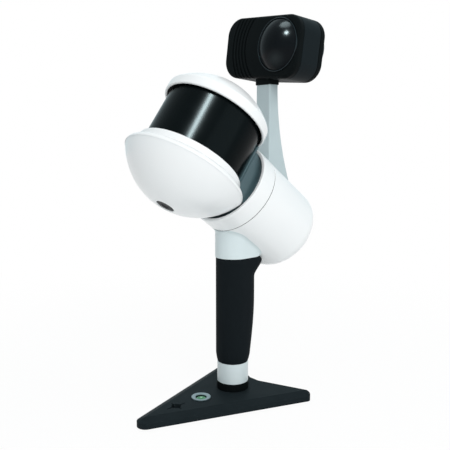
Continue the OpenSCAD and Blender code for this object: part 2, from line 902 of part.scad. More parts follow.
module camera_board() {
  color("darkgreen") at_camera() difference() {
    slab(camera_board_front, camera_board_front + board_t)
      square(2*[camera_post_x + camera_board_edge, camera_post_z + camera_board_edge], center = true);
    for (x = [-1, 1], z = [-1, 1])
      slab(-camera_d, camera_d) translate([x*camera_post_x, z*camera_post_z]) circle(r = screw_r + fit);
    translate([-camera_boss - 1, -camera_d, -camera_h/2])
      cube([2*camera_boss + 2, 2*camera_d, camera_wall + camera_screw_up + 1]);
  }
}

module camera_board_screws() {
  color(GREY) at_camera() for (x = [-1, 1], z = [-1, 1])
    translate([x*camera_post_x, camera_board_front, z*camera_post_z]) rotate([90, 0, 0])
      screw(0, board_t + camera_post_len - camera_post_spare);
}

// Rotor
module rotor_ring() {
  color(WHITE) difference() {
    at_motor() difference() {
      bar(housing_r, rotor_back, rotor_front);
      bar(housing_r - rotor_wall, rotor_face, rotor_front + 1);
      bar(spindle_r + run_fit, rotor_back - 1, rotor_front);
      rotor_screw_places() {
        bar(screw_r + fit, rotor_back - 1, rotor_front);
        bar(screw_head_r + fit, rotor_face - screw_head_h, rotor_front);
      }
      bracket_screw_places() {
        bar(screw_r + fit, rotor_back - 1, rotor_front);
        bar(screw_head_r + fit, rotor_back - 1, rotor_back + screw_head_h);
      }
    }
    at_lidar() head_room();
  }
}

// What the rotor ring leaves free for the head: the bowl, the ring under the window and the cap
module head_room() {
  rotate_extrude() bowl_section(bowl_r + head_gap, head_gap);
  bar(bowl_r + head_gap, bowl_top - bowl_rim_r, bowl_top + head_gap);
  bar(max(neck_ring_r, cap_r) + head_gap, bowl_top, cap_top);
}

module rotor_screw_places() {
  round_array(4, (spindle_r + flange_r)/2, 45) children();
}

module bracket_screw_places() {
  for (x = [-1, 1], y = [0.3, 0.8]) translate([x*(web_half_w - 4), web_bottom + y*web_h, 0]) children();
}

module spindle() {
  color(GREY) at_motor() difference() {
    union() {
      bar(spindle_r, spindle_back, rotor_face);
      bar(flange_r, flange_back, rotor_back);
    }
    bar(spindle_bore_r, spindle_back - 1, rotor_face + 1);
    rotor_screw_places() bar(screw_r + fit, flange_back - 1, rotor_back + eps);
  }
}

module rotor_bell() {
  color(GREY) at_motor() difference() {
    union() {
      bar(bell_r, bell_back, bell_front);
    }
    bar(bell_in_r, bell_back + bell_floor, bell_front + 1);
    bar(spindle_r + run_fit, bell_back - 1, bell_front);
  }
}

module encoder_disc() {
  color("lightsteelblue") at_motor() tube(encoder_r, spindle_r + run_fit, bell_back - encoder_t, bell_back);
}

module rotor_screws() {
  color(GREY) at_motor() rotor_screw_places() screw(rotor_face - screw_head_h, rotor_floor - screw_head_h + 2);
}

// Lidar head
module head_bracket() {
  color(GREY) difference() {
    union() {
      at_lidar() intersection() {
        tube(spine_out_r, spine_in_r, neck_top, cap_bottom);
        translate([-spine_half_w, 0, neck_top - 1]) cube([2*spine_half_w, far, window_show + 2]);
      }
      intersection() {
        at_lidar() translate([-web_half_w, web_front, web_bottom]) cube([2*web_half_w, web_back - web_front, web_h]);
        at_motor() bar(housing_r - rotor_wall - fit, rotor_face - 1, head_reach);
      }
    }
    at_lidar() bar(spine_in_r, neck_top - 1, cap_bottom + 1);
    at_motor() bracket_screw_places() bar(screw_r + fit, rotor_back, rotor_face + 7.5);
  }
}

module bracket_screws() {
  color(GREY) at_motor() bracket_screw_places() mirror([0, 0, 1])
    screw(-rotor_back - screw_head_h, rotor_floor - screw_head_h + 6);
}

// Half section of the bowl's outside: a sphere's underside, an upright rim and a rounded top edge
module bowl_section(r, grow) {
  intersection() {
    translate([0, bowl_centre]) circle(r = dome_r + grow);
    union() {
      translate([0, bowl_pole - 1]) square([r, bowl_top - bowl_rim_r - bowl_pole + 1]);
      translate([0, bowl_pole]) square([bowl_r - bowl_rim_r, bowl_h]);
      translate([bowl_r - bowl_rim_r, bowl_top - bowl_rim_r]) circle(r = bowl_rim_r + grow);
    }
    translate([0, bowl_pole - 1]) square([bowl_r + 1, bowl_h + 1 + min(grow, 0)]);
  }
}

module lower_bowl() {
  color(WHITE) at_lidar() difference() {
    union() {
      rotate_extrude() difference() {
        bowl_section(bowl_r, 0);
        bowl_section(bowl_in_r, -dome_wall);
      }
      intersection() {
        round_array(bowl_screw_count, bowl_screw_pos, 45) bar(bowl_boss_r, bowl_top - 10, bowl_top - 1);
        rotate_extrude() bowl_section(bowl_r - 1, -1);
      }
    }
    bar(ledge_in_r, bowl_top - 2*dome_wall, bowl_top + 1);
    bar(plug_r + fit, bowl_pole - 1, bowl_pole + 2*dome_wall);
    round_array(bowl_screw_count, bowl_screw_pos, 45) screw_hole(bowl_top, bowl_screw_len - 1);
  }
}

module bowl_plug() {
  color(BLACK) at_lidar() bar(plug_r, bowl_pole + plug_sink, bowl_pole + plug_sink + plug_t);
}

module neck_ring() {
  color(WHITE) at_lidar() difference() {
    union() {
      bar(neck_ring_r - shadow_step, neck_bottom, neck_bottom + shadow_step);
      bar(neck_ring_r, neck_bottom + shadow_step, neck_top);
    }
    bar(ledge_in_r, neck_bottom - 1, neck_top + 1);
    bar(window_r + fit, window_foot, neck_top + 1);
    round_array(bowl_screw_count, bowl_screw_pos, 45) {
      bar(screw_r + fit, neck_bottom - 1, window_foot);
      bar(screw_head_r + fit, window_foot - screw_head_h, window_foot + 1);
    }
  }
}

module bowl_screws() {
  color(GREY) at_lidar() round_array(bowl_screw_count, bowl_screw_pos, 45)
    screw(window_foot - screw_head_h, bowl_screw_len);
}

module lidar_window() {
  color(BLACK) at_lidar() tube(window_r, window_in_r, window_foot, window_top);
}

module window_gasket() {
  color(BLACK) at_lidar() tube(cap_hole_r - fit, window_r + fit, gasket_bottom, window_top);
}

module top_cap() {
  color(WHITE) at_lidar() rotate_extrude() difference() {
    intersection() {
      translate([0, cap_centre]) circle(r = dome_r);
      translate([0, cap_bottom]) square([cap_r, cap_h + 1]);
    }
    translate([0, cap_bottom - 1]) square([cap_hole_r, window_top - cap_bottom + 1]);
    intersection() {
      translate([0, cap_centre]) circle(r = dome_r - dome_wall);
      translate([0, window_top - 1]) square([window_in_r - 2, cap_h]);
    }
  }
}

module lidar_base() {
  color(GREY) at_lidar() difference() {
    union() {
      bar(base_r, window_foot, base_top);
      round_array(lidar_post_count, lidar_post_pos) bar(lidar_post_r, lidar_board_top, window_foot + eps);
    }
    bar(drum_pin_r + run_fit, window_foot - 1, base_top + 1);
    round_array(lidar_post_count, lidar_post_pos) bar(screw_r + fit, lidar_board_top - 1, lidar_board_top + 7);
  }
}

module lidar_pin() {
  color(GREY) at_lidar() {
    bar(drum_pin_r, window_foot, pin_top);
    bar(drum_pin_r + 2, base_top, base_top + drum_gap - 0.5);
  }
}

module lidar_board() {
  color("darkgreen") at_lidar() difference() {
    bar(lidar_board_r, lidar_board_top - board_t, lidar_board_top);
    round_array(lidar_post_count, lidar_post_pos) bar(screw_r + fit, lidar_board_top - board_t - 1, lidar_board_top + 1);
  }
}

module lidar_board_screws() {
  color(GREY) at_lidar() round_array(lidar_post_count, lidar_post_pos) mirror([0, 0, 1])
    screw(board_t - lidar_board_top, board_t + 6);
}

module lidar_drum() {
  color(SLATE) at_lidar() difference() {
    bar(drum_r, drum_bottom, drum_top);
    bar(drum_pin_r + bush_wall + run_fit, drum_bottom - 1, drum_top + 1);
    translate([-far, -far - drum_flat, -far]) cube([2*far, far, 2*far]);
  }
}

module drum_bush() {
  color("goldenrod") at_lidar() tube(drum_pin_r + bush_wall, drum_pin_r + run_fit, drum_bottom, drum_top);
}

module drum_lenses() {
  color("darkred") at_lidar() for (x = [-lens_disc_x, lens_disc_x])
    translate([x, -drum_flat, (drum_bottom + drum_top)/2]) rotate([90, 0, 0]) cylinder(r = lens_disc_r, h = lens_disc_t);
}

base_plate();
level_bezel();
level_vial();
plate_collar();
base_stud();
tube_plug();
handle_ring();
handle_tube();
grip_sleeve();
housing_shell();
motor_plate();
plate_screws();
spindle_bearings();
motor_stator();
slip_ring();
control_board();
board_screws();
power_button();
button_switch();
status_light();
cable_socket();
mast();
mast_screws();
mast_collar();
camera_front_shell();
camera_body();
camera_rear_shell();
front_lens_ring();
rear_lens_ring();
front_lens();
rear_lens();
camera_board();
camera_board_screws();
camera_screw();
rotor_ring();
spindle();
rotor_bell();
encoder_disc();
rotor_screws();
head_bracket();
bracket_screws();
lower_bowl();
bowl_plug();
neck_ring();
bowl_screws();
lidar_window();
window_gasket();
top_cap();
lidar_base();
lidar_pin();
lidar_board();
lidar_board_screws();
lidar_drum();
drum_bush();
drum_lenses();
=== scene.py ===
"""Looks of a handheld laser scanner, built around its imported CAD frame.

Sizes are in millimetres until a mesh is placed; every finished object is in metres in the CAD frame.
"""
import json
import logging
import math
from dataclasses import dataclass
from enum import Enum
from typing import Any, Iterable, Optional, Sequence

import bmesh
import bpy
from mathutils import Matrix, Vector


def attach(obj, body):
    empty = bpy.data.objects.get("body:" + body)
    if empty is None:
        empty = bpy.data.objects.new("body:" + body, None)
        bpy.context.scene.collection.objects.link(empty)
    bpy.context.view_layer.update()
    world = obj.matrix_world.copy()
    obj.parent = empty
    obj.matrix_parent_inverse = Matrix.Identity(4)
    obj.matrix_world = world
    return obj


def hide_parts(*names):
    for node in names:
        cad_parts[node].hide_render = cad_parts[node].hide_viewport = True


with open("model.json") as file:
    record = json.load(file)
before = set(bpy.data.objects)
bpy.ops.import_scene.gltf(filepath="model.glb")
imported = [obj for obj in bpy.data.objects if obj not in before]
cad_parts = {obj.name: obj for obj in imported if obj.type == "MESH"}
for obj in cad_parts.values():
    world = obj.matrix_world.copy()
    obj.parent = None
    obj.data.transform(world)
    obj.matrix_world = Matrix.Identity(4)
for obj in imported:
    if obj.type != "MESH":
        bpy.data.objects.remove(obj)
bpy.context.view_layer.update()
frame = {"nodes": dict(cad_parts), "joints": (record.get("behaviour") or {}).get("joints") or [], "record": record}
LOG = logging.getLogger("scanner")
MM = 0.001
CREASE = 30.0
JOINTS = {joint["name"]: joint for joint in frame["joints"]}

Piece = bpy.types.Object
Tree = bpy.types.NodeTree
Socket = bpy.types.NodeSocket
Mesh = bmesh.types.BMesh
Point = bmesh.types.BMVert
Corner = tuple[float, ...]
Path = list[tuple[float, float]]
Loop = list[Vector]
Row = list[Point]


def joint_frame(name: str) -> Matrix:
    """Frame of a joint: local Z along its axis and local X along the world's X.

    Args:
        name: the joint in the record.

    Returns:
        The matrix from the local frame, in metres, to the CAD frame.
    """
    z = Vector(JOINTS[name]["axis"]).normalized()
    x = Vector((1.0, 0.0, 0.0))
    turn = Matrix((x, z.cross(x), z)).transposed().to_4x4()
    return Matrix.Translation(Vector(JOINTS[name]["pos_m"])) @ turn


def shifted(place: Matrix, x: float, y: float, z: float) -> Matrix:
    """A frame moved along its own axes, in millimetres."""
    return place @ Matrix.Translation(Vector((x, y, z)) * MM)


WORLD = Matrix.Identity(4)
MOTOR = joint_frame("head_spin")
LIDAR = joint_frame("lidar_spin")


def linear(code: str) -> tuple[float, float, float, float]:
    """Linear colour of an sRGB hex value.

    Args:
        code: six hex digits after a hash sign.

    Returns:
        Red, green, blue and alpha.
    """
    parts = [int(code[i:i + 2], 16) / 255 for i in (1, 3, 5)]
    red, green, blue = (c / 12.92 if c <= 0.04045 else ((c + 0.055) / 1.055) ** 2.4 for c in parts)
    return red, green, blue, 1.0


def add_node(tree: Tree, kind: str, inputs: Optional[dict[Any, Any]] = None,
             **settings: Any) -> bpy.types.Node:
    """Adds one node with its settings and links.

    Args:
        tree: the tree that takes the node.
        kind: the node's type name.
        inputs: values or output sockets by input name or number.
        settings: attributes of the node itself.

    Returns:
        The node.
    """
    node = tree.nodes.new(kind)
    for key, value in settings.items():
        setattr(node, key, value)
    for key, value in (inputs or {}).items():
        if isinstance(value, Socket):
            tree.links.new(value, node.inputs[key])
        else:
            node.inputs[key].default_value = value
    return node


class Grain(Enum):
    """How a surface was made, which sets the pattern of its bump."""

    MOULDED = "fine even texture of an etched mould"
    POWDER = "orange peel of a baked powder coat"
    RUBBER = "soft dimples of an over-moulded grip"
    TURNED = "fine lines left by a lathe or a brush"
    POLISHED = "no texture, only faint smears"


@dataclass(frozen=True)
class Finish:
    """One real material: its colours, its gloss and the texture its making left.

    A grain finer than about half a millimetre can't show at this size, so the moulded, coated and rubber
    grains are drawn that coarse or a little coarser than real ones.
    """

    name: str
    colour: str
    shade: str
    grain: Grain
    rough: float
    swing: float = 0.04
    grain_mm: float = 0.5
    bump_mm: float = 0.02
    patch_mm: float = 22.0
    metallic: float = 0.0
    specular: float = 0.5
    coat: float = 0.0
    coat_rough: float = 0.05
    glow: float = 0.0

    def material(self) -> bpy.types.Material:
        """The Blender material, made once.

        Returns:
            The material of this name.
        """
        known = bpy.data.materials.get(self.name)
        return known if known else self._build()

    def _height(self, tree: Tree, place: Socket) -> Socket:
        """Height pattern of the surface's texture.

        Args:
            tree: the material's tree.
            place: Object coordinates, in metres.

        Returns:
            The socket that carries the height.
        """
        per_metre = 1.0 / (self.grain_mm * MM)
        if self.grain is Grain.RUBBER:
            cells = add_node(tree, "ShaderNodeTexVoronoi",
                             {"Vector": place, "Scale": per_metre, "Randomness": 0.6}, feature="SMOOTH_F1")
            return cells.outputs["Distance"]
        if self.grain is Grain.TURNED:
            stretch = add_node(tree, "ShaderNodeMapping", {"Vector": place, "Scale": (1.0, 0.04, 1.0)})
            lines = add_node(tree, "ShaderNodeTexNoise",
                             {"Vector": stretch.outputs[0], "Scale": per_metre, "Detail": 2.0})
            return lines.outputs["Fac"]
        detail = 1.0 if self.grain is Grain.POWDER else 3.0
        noise = add_node(tree, "ShaderNodeTexNoise",
                         {"Vector": place, "Scale": per_metre, "Detail": detail})
        return noise.outputs["Fac"]

    def _build(self) -> bpy.types.Material:
        """Builds the node tree.

        Returns:
            The new material.
        """
        material = bpy.data.materials.new(self.name)
        material.use_nodes = True
        tree = material.node_tree
        tree.nodes.clear()
        place = add_node(tree, "ShaderNodeTexCoord").outputs["Object"]
        patches = add_node(tree, "ShaderNodeTexNoise",
                           {"Vector": place, "Scale": 1.0 / (self.patch_mm * MM),
                            "Detail": 1.0, "Roughness": 0.5})
        tone = add_node(tree, "ShaderNodeMix",
                        {0: patches.outputs["Fac"], 6: linear(self.colour), 7: linear(self.shade)},
                        data_type="RGBA")
        gloss = add_node(tree, "ShaderNodeMapRange",
                         {"Value": patches.outputs["Fac"], "From Min": 0.3, "From Max": 0.7,
                          "To Min": self.rough - self.swing, "To Max": self.rough + self.swing})
        shader = add_node(tree, "ShaderNodeBsdfPrincipled",
                          {"Base Color": tone.outputs[2], "Roughness": gloss.outputs[0],
                           "Metallic": self.metallic, "Specular IOR Level": self.specular,
                           "Coat Weight": self.coat, "Coat Roughness": self.coat_rough})
        if self.glow:
            shader.inputs["Emission Color"].default_value = linear(self.colour)
            shader.inputs["Emission Strength"].default_value = self.glow
        if self.grain is not Grain.POLISHED:
            bump = add_node(tree, "ShaderNodeBump",
                            {"Height": self._height(tree, place), "Distance": self.bump_mm * MM,
                             "Strength": 1.0})
            tree.links.new(bump.outputs[0], shader.inputs["Normal"])
        add_node(tree, "ShaderNodeOutputMaterial", {"Surface": shader.outputs[0]})
        return material


# Moulded white ABS: a bright, smooth skin with a soft gloss and hardly any texture
WHITE_ABS = Finish("white_moulded_abs", "#F1F2F2", "#EEEFF0", Grain.MOULDED, 0.3, grain_mm=0.7,
                   bump_mm=0.003, patch_mm=60.0, coat=0.25, coat_rough=0.12)
# The ring and the neck at the ends of the grip: the same white plastic drawn in a pale grey, as painted shade
# where these parts lie in shade
PAINTED_SHADE_ABS = Finish("white_abs_painted_shade", "#D4DFE1", "#D0DBDD", Grain.MOULDED, 0.34, grain_mm=0.7,
                  bump_mm=0.003, patch_mm=60.0, coat=0.2, coat_rough=0.15)
# Powder-coated aluminium plate: dark slate with a fine orange peel
SLATE_POWDER = Finish("slate_powder_coat", "#1A2124", "#1E2528", Grain.POWDER, 0.55, grain_mm=0.6,
                      bump_mm=0.02, specular=0.03)
# Over-moulded rubber: a soft black that swallows light, with tiny dimples
GRIP_RUBBER = Finish("black_grip_rubber", "#12171A", "#161B1E", Grain.RUBBER, 0.7, grain_mm=0.9,
                     bump_mm=0.05, specular=0.05)
# Etched polycarbonate camera shell: satin black
CAMERA_PC = Finish("black_satin_polycarbonate", "#0B0F10", "#0E1213", Grain.MOULDED, 0.42, grain_mm=0.5,
                   bump_mm=0.012, specular=0.03)
# Its middle body: the same black plastic drawn in a lighter slate grey than the shells, as painted light on the
# camera's lit sides and underside, and etched more coarsely
PAINTED_LIGHT_PC = Finish("black_polycarbonate_painted_light", "#141A1D", "#171E21", Grain.MOULDED, 0.5, grain_mm=0.6,
                 bump_mm=0.015, specular=0.05)
# Filter window: polished infrared polycarbonate, nearly black, with one soft streak of light along it
WINDOW_PC = Finish("black_infrared_polycarbonate", "#060B0C", "#080E10", Grain.POLISHED, 0.2, swing=0.02,
                   specular=0.035)
# Powder-coated mast: pale blue grey satin
MAST_POWDER = Finish("pale_grey_powder_coat", "#B3C1C4", "#BBC8CB", Grain.POWDER, 0.42, grain_mm=0.7,
                     bump_mm=0.015)
# Blasted casting of the head bracket, lacquered: a mid grey that brightens where it turns away. On the web inside
# the rotor's cup the same dark grey is partly painted shade, where the cup's hollow lies in shade
BRACKET_GREY_AND_SHADE = Finish("grey_casting_and_painted_shade", "#4F676D", "#475E64", Grain.POWDER, 0.34, grain_mm=0.6,
                      bump_mm=0.01, specular=0.6, coat=0.3, coat_rough=0.2)
# Soft sealing rubber: dead black
GASKET_RUBBER = Finish("black_sealing_rubber", "#0A0B0C", "#0E0F10", Grain.RUBBER, 0.75, grain_mm=0.6,
                       specular=0.2)
# Plain moulded nylon of plugs, sockets and the button
NYLON = Finish("dark_moulded_nylon", "#1B2124", "#171C1F", Grain.MOULDED, 0.5, grain_mm=0.5,
               bump_mm=0.015, specular=0.2)
# Coated optical glass over a black barrel: it looks nearly black, with soft round reflections of the lamps
OPTICAL_GLASS = Finish("coated_optical_glass", "#0B0E11", "#101417", Grain.POLISHED, 0.19, swing=0.01,
                       specular=0.05)
# Diamond-cut rim of anodised aluminium: a thin bright line
CUT_RIM = Finish("diamond_cut_rim", "#363C3F", "#31373A", Grain.TURNED, 0.3, grain_mm=0.3, bump_mm=0.004,
                 metallic=1.0)
# Satin aluminium of the level's bezel and the inner turned parts
SATIN_ALU = Finish("satin_turned_aluminium", "#9AA3A6", "#8F999C", Grain.TURNED, 0.36, grain_mm=0.35,
                   bump_mm=0.006, metallic=1.0)
# Spirit of the bubble level: green, seen through a polished dome
LEVEL_SPIRIT = Finish("green_level_spirit", "#5A9870", "#518C66", Grain.POLISHED, 0.12, swing=0.02,
                      specular=0.2)
# Air bubble: a pale lens in the spirit
LEVEL_BUBBLE = Finish("pale_air_bubble", "#8DBE96", "#96C79F", Grain.POLISHED, 0.12, swing=0.02,
                      specular=0.2)
# Plain turned steel of screws, shafts and races
STEEL = Finish("plain_turned_steel", "#A4A7A9", "#989B9D", Grain.TURNED, 0.32, grain_mm=0.3,
               bump_mm=0.005, metallic=1.0)
# Enamelled copper wire of the windings
WINDING = Finish("enamelled_copper_wire", "#A3562B", "#8A4522", Grain.TURNED, 0.35, grain_mm=0.5,
                 bump_mm=0.05, metallic=1.0)
# Sintered bronze of the bush
BRONZE = Finish("sintered_bronze", "#B99550", "#A78445", Grain.POWDER, 0.45, grain_mm=0.3, bump_mm=0.01,
                metallic=1.0)
# Solder mask on glass fibre
BOARD = Finish("green_solder_mask", "#0F4A25", "#14552C", Grain.MOULDED, 0.35, grain_mm=1.2, bump_mm=0.02)
# Light pipe of the status light: clear blue acrylic, faintly lit
LIGHT_PIPE = Finish("blue_light_pipe", "#3E8FD0", "#4A9BDA", Grain.POLISHED, 0.15, coat=0.4, glow=0.25)
# Gilt contact pins
GILT = Finish("gilt_contact", "#D6AE55", "#C79F48", Grain.TURNED, 0.25, grain_mm=0.2, bump_mm=0.002,
              metallic=1.0)
# Filter glass on the laser stack: dark red
FILTER_GLASS = Finish("dark_red_filter_glass", "#3A0A0C", "#450D10", Grain.POLISHED, 0.06, swing=0.02,
                      coat=0.5)

SLOT_FINISH: dict[str, Finish] = {
    "slate_metal": SLATE_POWDER, "black_plastic": CAMERA_PC, "grip_rubber": GRIP_RUBBER,
    "white_plastic": WHITE_ABS, "pale_metal": MAST_POWDER, "bracket_metal": BRACKET_GREY_AND_SHADE,
    "window_black": WINDOW_PC, "gasket_rubber": GASKET_RUBBER, "plug_plastic": NYLON,
    "lens_glass": OPTICAL_GLASS, "lens_rim": CUT_RIM, "level_metal": SATIN_ALU,
    "vial_green": LEVEL_SPIRIT, "steel": STEEL, "tube_aluminium": SATIN_ALU, "winding": WINDING,
    "bush_brass": BRONZE, "board_green": BOARD, "switch_grey": NYLON, "light_blue": LIGHT_PIPE,
    "encoder_plate": SATIN_ALU, "drum_glass": FILTER_GLASS,
}


def rounded(corners: Sequence[Corner], closed: bool, steps: int = 6) -> Path:
    """A polyline whose corners are rounded.

    Args:
        corners: (a, b) or (a, b, radius) for each corner, in millimetres.
        closed: whether the last corner joins the first.
        steps: pieces of each rounding.

    Returns:
        The points of the line.
    """
    points: Path = []
    count = len(corners)
    for i, corner in enumerate(corners):
        here = Vector(corner[:2])
        radius = corner[2] if len(corner) > 2 else 0.0
        if radius <= 0.0 or (not closed and i in (0, count - 1)):
            points.append((here.x, here.y))
            continue
        before = Vector(corners[i - 1][:2]) - here
        after = Vector(corners[(i + 1) % count][:2]) - here
        half = before.angle(after) / 2
        reach = min(radius / math.tan(half), 0.49 * before.length, 0.49 * after.length)
        start, end = here + before.normalized() * reach, here + after.normalized() * reach
        centre = here + (before.normalized() + after.normalized()).normalized() * reach / math.cos(half)
        sweep = (start - centre).angle_signed(end - centre)
        for k in range(steps + 1):
            spoke = (start - centre).to_3d()
            spoke.rotate(Matrix.Rotation(-sweep * k / steps, 3, "Z"))
            points.append((centre.x + spoke.x, centre.y + spoke.y))
    return points


def arc(centre: tuple[float, float], radius: float, start: float, end: float, steps: int) -> Path:
    """Points on a circle.

    Args:
        centre: its middle, in millimetres.
        radius: its radius.
        start: first angle in degrees, from the first axis.
        end: last angle in degrees.
        steps: number of pieces.

    Returns:
        The points, both ends included.
    """
    turns = [math.radians(start + (end - start) * k / steps) for k in range(steps + 1)]
    return [(centre[0] + radius * math.cos(t), centre[1] + radius * math.sin(t)) for t in turns]


def quarter(steps: int) -> list[float]:
    """Angles of a quarter turn in equal steps, both ends included."""
    return [math.pi / 2 * k / steps for k in range(steps + 1)]


def mesh_object(name: str, bm: Mesh, place: Matrix, crease: float = CREASE) -> Piece:
    """Turns a bmesh in millimetres into an object at the origin whose mesh is in metres in the CAD frame.

    Args:
        name: the piece's name.
        bm: the mesh, which is freed.
        place: from the local frame to the CAD frame.
        crease: edges that turn by more than this many degrees stay sharp.

    Returns:
        The object.
    """
    bmesh.ops.remove_doubles(bm, verts=bm.verts, dist=1e-4)
    bmesh.ops.recalc_face_normals(bm, faces=bm.faces)
    for face in bm.faces:
        face.smooth = True
    for edge in bm.edges:
        if len(edge.link_faces) == 2 and edge.calc_face_angle(0.0) > math.radians(crease):
            edge.smooth = False
    bmesh.ops.transform(bm, matrix=place @ Matrix.Scale(MM, 4), verts=bm.verts)
    mesh = bpy.data.meshes.new(name)
    bm.to_mesh(mesh)
    bm.free()
    piece = bpy.data.objects.new(name, mesh)
    bpy.context.scene.collection.objects.link(piece)
    return piece


def weigh_normals(piece: Piece) -> Piece:
    """Lets large faces decide the shading, so that flats beside roundings stay flat.

    Args:
        piece: the piece.

    Returns:
        The same piece.
    """
    modifier = piece.modifiers.new("weighted normals", "WEIGHTED_NORMAL")
    modifier.keep_sharp = True
    return piece


def bridge(bm: Mesh, low: Row, high: Row) -> None:
    """Joins two loops of a mesh by a band of faces.

    Args:
        bm: the mesh.
        low: one loop of its points.
        high: the other loop, with as many points.
    """
    for i in range(len(low)):
        j = (i + 1) % len(low)
        bm.faces.new((low[i], low[j], high[j], high[i]))


def fan(bm: Mesh, row: Row, tip: Point) -> None:
    """Closes a loop of a mesh by triangles to one point.

    Args:
        bm: the mesh.
        row: the loop of its points.
        tip: the point.
    """
    for i in range(len(row)):
        bm.faces.new((row[i], row[(i + 1) % len(row)], tip))


def loft(name: str, loops: Sequence[Loop], place: Matrix, ring: bool = False,
         crease: float = CREASE) -> Piece:
    """A skin over loops of points.

    Args:
        name: the piece's name.
        loops: loops with the same number of points, in millimetres.
        place: from the local frame to the CAD frame.
        ring: whether the last loop joins the first one; without it, a fan closes each end.
        crease: sharp edges turn by more than this many degrees.

    Returns:
        The object.
    """
    bm = bmesh.new()
    rows = [[bm.verts.new(p) for p in loop] for loop in loops]
    for low, high in zip(rows, rows[1:] + rows[:1] if ring else rows[1:]):
        bridge(bm, low, high)
    if not ring:
        for row in (rows[0], rows[-1]):
            fan(bm, row, bm.verts.new(sum((v.co for v in row), Vector()) / len(row)))
    return mesh_object(name, bm, place, crease)


def lathe(name: str, path: Path, place: Matrix, closed: bool, segments: int = 160) -> Piece:
    """A turned piece.

    Args:
        name: the piece's name.
        path: (radius, height) points in millimetres; an open path starts and ends on the axis.
        place: from the local frame, with the axis as Z, to the CAD frame.
        closed: whether the path is a ring's section.
        segments: pieces round the axis.

    Returns:
        The object.
    """
    turns = [2 * math.pi * k / segments for k in range(segments)]
    inner = path if closed else path[1:-1]
    loops = [[Vector((r * math.cos(t), r * math.sin(t), z)) for t in turns] for r, z in inner]
    if closed:
        return weigh_normals(loft(name, loops, place, ring=True))
    bm = bmesh.new()
    rows = [[bm.verts.new(p) for p in loop] for loop in loops]
    for low, high in zip(rows, rows[1:]):
        bridge(bm, low, high)
    for row, pole in ((rows[0], path[0]), (rows[-1], path[-1])):
        fan(bm, row, bm.verts.new((0.0, 0.0, pole[1])))
    return weigh_normals(mesh_object(name, bm, place))


def node_copy(name: str, node: str, bevel: float, crease: float) -> Piece:
    """A welded copy of a CAD node with its edges broken.

    Args:
        name: the piece's name.
        node: the CAD node.
        bevel: width of the broken edges, in millimetres.
        crease: edges that turn by more than this many degrees are broken or stay sharp.

    Returns:
        The object.
    """
    bm = bmesh.new()
    bm.from_mesh(frame["nodes"][node].data)
    bmesh.ops.transform(bm, matrix=Matrix.Scale(1 / MM, 4), verts=bm.verts)
    bmesh.ops.remove_doubles(bm, verts=bm.verts, dist=1e-3)
    bmesh.ops.dissolve_limit(bm, angle_limit=math.radians(0.6), verts=bm.verts, edges=bm.edges)
    piece = mesh_object(name, bm, WORLD, crease)
    edges = piece.modifiers.new("broken edges", "BEVEL")
    edges.width = bevel * MM
    edges.segments = 4
    edges.limit_method = "ANGLE"
    edges.angle_limit = math.radians(crease + 10)
    return weigh_normals(piece)


def baked(piece: Piece) -> Piece:
    """Applies a piece's modifiers, so that its mesh is plain.

    Args:
        piece: the piece.

    Returns:
        The same piece, with no modifiers.
    """
    graph = bpy.context.evaluated_depsgraph_get()
    mesh = bpy.data.meshes.new_from_object(piece.evaluated_get(graph))
    piece.modifiers.clear()
    piece.data = mesh
    return piece


def cut(piece: Piece, cutters: Iterable[Piece]) -> Piece:
    """Cuts other solids out of a piece and removes them.

    Args:
        piece: what is cut.
        cutters: closed solids.

    Returns:
        The piece with a plain mesh.
    """
    for cutter in cutters:
        modifier = piece.modifiers.new("cut", "BOOLEAN")
        modifier.operation = "DIFFERENCE"
        modifier.solver = "EXACT"
        modifier.object = cutter
        baked(piece)
        bpy.data.objects.remove(cutter)
    bm = bmesh.new()
    bm.from_mesh(piece.data)
    for edge in bm.edges:
        edge.smooth = edge.calc_face_angle(math.pi) < math.radians(CREASE)
    bm.to_mesh(piece.data)
    bm.free()
    return weigh_normals(piece)


def ring_of(piece: Piece, count: int, radius: float, place: Matrix, finish: Finish) -> Piece:
    """Copies a small shape round local Z, with Geometry Nodes.

    Args:
        piece: the shape at its local origin, in metres.
        count: number of copies.
        radius: of the circle that they stand on, in millimetres.
        place: from the local frame to the CAD frame.
        finish: what the copies are made of.

    Returns:
        The piece with all copies in one plain mesh.
    """
    tree = bpy.data.node_groups.new(f"{piece.name}_copies", "GeometryNodeTree")
    tree.is_modifier = True
    kinds = {"Geometry": "NodeSocketGeometry", "Count": "NodeSocketInt", "Radius": "NodeSocketFloat"}
    sockets = {label: tree.interface.new_socket(label, in_out="INPUT", socket_type=kind)
               for label, kind in kinds.items()}
    tree.interface.new_socket("Geometry", in_out="OUTPUT", socket_type="NodeSocketGeometry")
    given = add_node(tree, "NodeGroupInput").outputs
    points = add_node(tree, "GeometryNodeMeshCircle",
                      {"Vertices": given["Count"], "Radius": given["Radius"]})
    copies = add_node(tree, "GeometryNodeInstanceOnPoints",
                      {"Points": points.outputs[0], "Instance": given["Geometry"]})
    real = add_node(tree, "GeometryNodeRealizeInstances", {0: copies.outputs[0]})
    dressed = add_node(tree, "GeometryNodeSetMaterial",
                       {"Geometry": real.outputs[0], "Material": finish.material()})
    add_node(tree, "NodeGroupOutput", {0: dressed.outputs[0]})
    modifier = piece.modifiers.new("copies", "NODES")
    modifier.node_group = tree
    modifier[sockets["Count"].identifier] = count
    modifier[sockets["Radius"].identifier] = radius * MM
    baked(piece)
    piece.data.transform(place)
    return piece


def fitted(piece: Piece, body: str, slot: str, finish: Finish, *nodes: str) -> Piece:
    """Dresses a finished piece and lets it ride on its body.

    Args:
        piece: the finished piece.
        body: the CAD body it moves with.
        slot: the record's material slot; not used.
        finish: its material.
        nodes: CAD nodes it stands for.

    Returns:
        The piece.
    """
    piece.data.materials.clear()
    piece.data.materials.append(finish.material())
    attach(piece, body)
    if nodes:
        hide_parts(*nodes)
    LOG.info("%s rides %s, stands for %s", piece.name, body, ", ".join(nodes) or "itself")
    return piece


BODY = "scanner_body"
HEAD = "scan_head"


